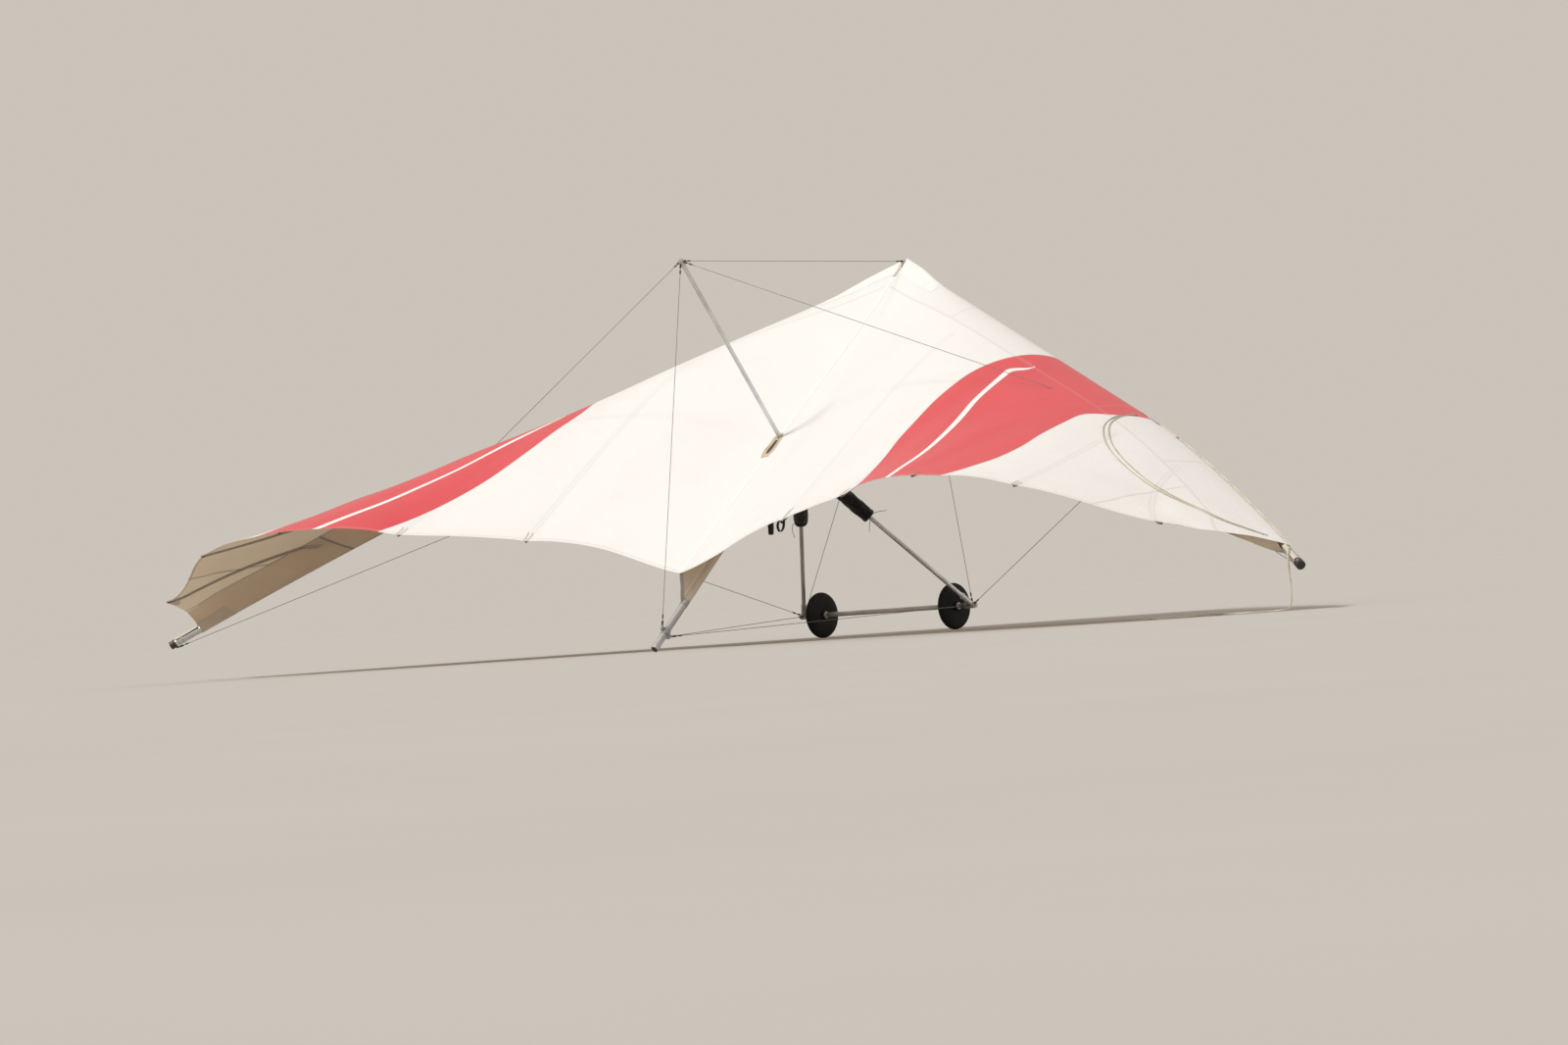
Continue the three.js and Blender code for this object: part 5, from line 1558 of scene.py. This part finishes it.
def drawn_in(shape, sign):
    """Ties near both ends and a long glued seam draw the foam in."""
    z = shape[:, 2]
    radial = np.linalg.norm(shape[:, :2], axis=1)
    angle = np.arctan2(shape[:, 1], shape[:, 0])
    pull = 0.0045 * np.exp(-((z - 0.405) / 0.007) ** 2) + 0.0035 * np.exp(-((z - 0.030) / 0.007) ** 2)
    pull += 0.0030 * np.exp(-((angle - 2.2) / 0.07) ** 2)
    pull += 0.0012 * np.sin(z * 60 + 3 * np.sin(angle * 2 + sign)) + 0.0010 * np.sin(angle * 5 + z * 37)
    limit = (PAD_RADIUS - 0.0008) / np.maximum(radial, 1e-6)
    scale = np.clip((radial - pull) / np.maximum(radial, 1e-6), 0.2, limit)
    shape[:, :2] *= np.where(radial > 0.020, scale, 1)[:, None]
    shape[:, 2] = np.clip(shape[:, 2], 0.001, PAD_LENGTH - 0.001)
    return shape


def pad_ties(way):
    """Thin ties round the foam, with loose tails."""
    side = unit(np.cross(way, [0, 0, 1]))
    up = np.cross(side, way)
    a = np.linspace(0, 2 * math.pi, 40)[:, None]
    ties = []
    for d, r in ((0.405, 0.0462), (0.030, 0.0468)):
        ring = towards(APEX, CORNER, PAD_START + d) + (np.cos(a) * side + np.sin(a) * up) * r
        ties.append(tube(ring, 0.0016, 6, up=way, caps=False))
    knot = towards(APEX, CORNER, PAD_START + 0.432) + up * 0.030
    for k, reach in ((-1, 0.11), (1, 0.09)):
        tail = [knot + side * across * k + way * down + up * high for across, down, high in
                ((0, 0, 0), (0.03, 0.012, 0.018), (0.06, 0.030, 0.010), (reach, 0.062, -0.016))]
        ties.append(tube(smooth(tail, 20), 0.0017, 6))
    return ties


def foam_pads():
    """A foam sleeve round each downtube, blown up as cloth, then squeezed by its ties."""
    start, way = towards(APEX, CORNER, PAD_START), unit(CORNER - APEX)
    turn = np.array(Vector(way).to_track_quat("Z", "Y").to_matrix())
    material, slot = LOOKS["foam"]
    for flip, word in SIDES:
        pad, shape = blown_pad(flip[0], word)
        mesh = pad.data
        mesh.vertices.foreach_set("co", park((drawn_in(shape, flip[0]) @ turn.T + start) * flip).reshape(-1))
        if flip[0] < 0:
            mesh.flip_normals()
        mesh.materials.clear()
        mesh.materials.append(material)
        mesh.polygons.foreach_set("use_smooth", [True] * len(mesh.polygons))
        mesh.name = pad.name
        settle(pad, node=f"downtube_pad_{word}")
    pair("pad_ties", pad_ties(way), "webbing_plain", sharp=180)


foam_pads()


# Wheels.
def wheels():
    hub = park([CORNER])[0]
    rim = [(0.0235 * math.sin(t), WHEEL_RADIUS - 0.030 + 0.030 * math.cos(t))
           for t in np.linspace(-1.25, 1.25, 21)]
    # The disc's side from the bore outwards: half breadth and radius.
    bulge = [(0.0320, 0.0165), (0.0320, 0.0300), (0.0312, 0.0318), (0.0240, 0.0335), (0.0222, 0.0365),
             (0.0238, 0.0440), (0.0268, 0.0620), (0.0279, 0.0800), (0.0270, 0.0980), (0.0258, 0.1080)]
    profile = [(-w, r) for w, r in bulge] + rim + bulge[::-1]
    t = np.linspace(0, 2 * np.pi, 96, endpoint=False)
    ring = np.stack([0 * t, np.cos(t), np.sin(t)], 1)
    for flip, word in SIDES:
        centre = np.array([(CORNER[0] - WHEEL_INSET) * flip[0], hub[1], hub[2]])
        rings = [centre + [d, 0, 0] + ring * r for d, r in profile + profile[:1]]
        closed(f"wheel_disc_{word}", [skin(rings, caps=False)], "wheel", body=f"wheel_{word}", parked=False,
               sharp=45, node=f"wheel_{word}")


wheels()

# Hang straps.
LOOP_PLACES, LOOP_DROPS, LOOP_WIDTH = (-1.945, -2.035), (0.300, 0.360), 0.034
# The spare strap beside the first one, its end curled up: across, along and down from the keel.
SPARE_CURL = np.array([[-0.012, 0, 0.037], [0.014, 0, 0.034], [0.0310, 0, 0.010], [0.0325, 0, -0.030],
                       [0.040, 0.004, -0.130], [0.051, 0.006, -0.240], [0.055, 0.004, -0.335],
                       [0.044, 0, -0.395],
                       [0.021, -0.004, -0.412], [0.004, -0.004, -0.385], [0.010, 0, -0.348],
                       [0.027, 0.004, -0.342], [0.037, 0.005, -0.360]])


def loop_line(i, drop):
    """A loop that hangs round the keel: over it, down one side, round a narrow foot and up the other."""
    high = KEEL_RADIUS / math.cos(PITCH) + LOOP_WIDTH / 2 * math.tan(PITCH) + 0.0006
    out = 0.0015
    across, narrow = KEEL_RADIUS + 0.0045 + out, 0.006 + out
    a, b = np.linspace(0, math.pi, 24), np.linspace(math.pi, 2 * math.pi, 12)
    top = np.stack([across * np.cos(a), 0 * a, (high + out) * np.sin(a)], 1)
    foot = np.stack([narrow * np.cos(b), 0 * b, -drop + narrow * np.sin(b)], 1)
    down = np.linspace(0, 1, 26)[1:-1, None]
    line = np.vstack([top, top[-1] + (foot[0] - top[-1]) * down, foot, foot[-1] + (top[0] - foot[-1]) * down])
    depth = np.clip(-line[:, 2] / drop, 0, 1)
    line[:, 1] += (0.004 * np.sin(depth * 7 + i) - 0.003) * depth
    line[:, 0] += 0.0016 * np.sin(depth * 11 + 2 * i) * np.sin(depth * math.pi)
    return line


def hang_straps():
    for i, (place, drop) in enumerate(zip(LOOP_PLACES, LOOP_DROPS), 1):
        line = loop_line(i, drop)
        ways = np.roll(line, -1, axis=0) - np.roll(line, 1, axis=0)
        cloth_strap(f"hang_strap_{i}", line + park([[0, place, 0]])[0], LOOP_WIDTH - 0.001, 0.0026,
                    np.cross([0, 1, 0], ways), "webbing", parked=False, loop=True, node=f"hang_loop_{i}")
    line = smooth(SPARE_CURL + park([[0, LOOP_PLACES[0], 0]])[0], 90)
    cloth_strap("spare_strap", line, 0.024, 0.0024, np.cross([0, 1, 0], np.gradient(line, axis=0)), "webbing",
                parked=False)


hang_straps()
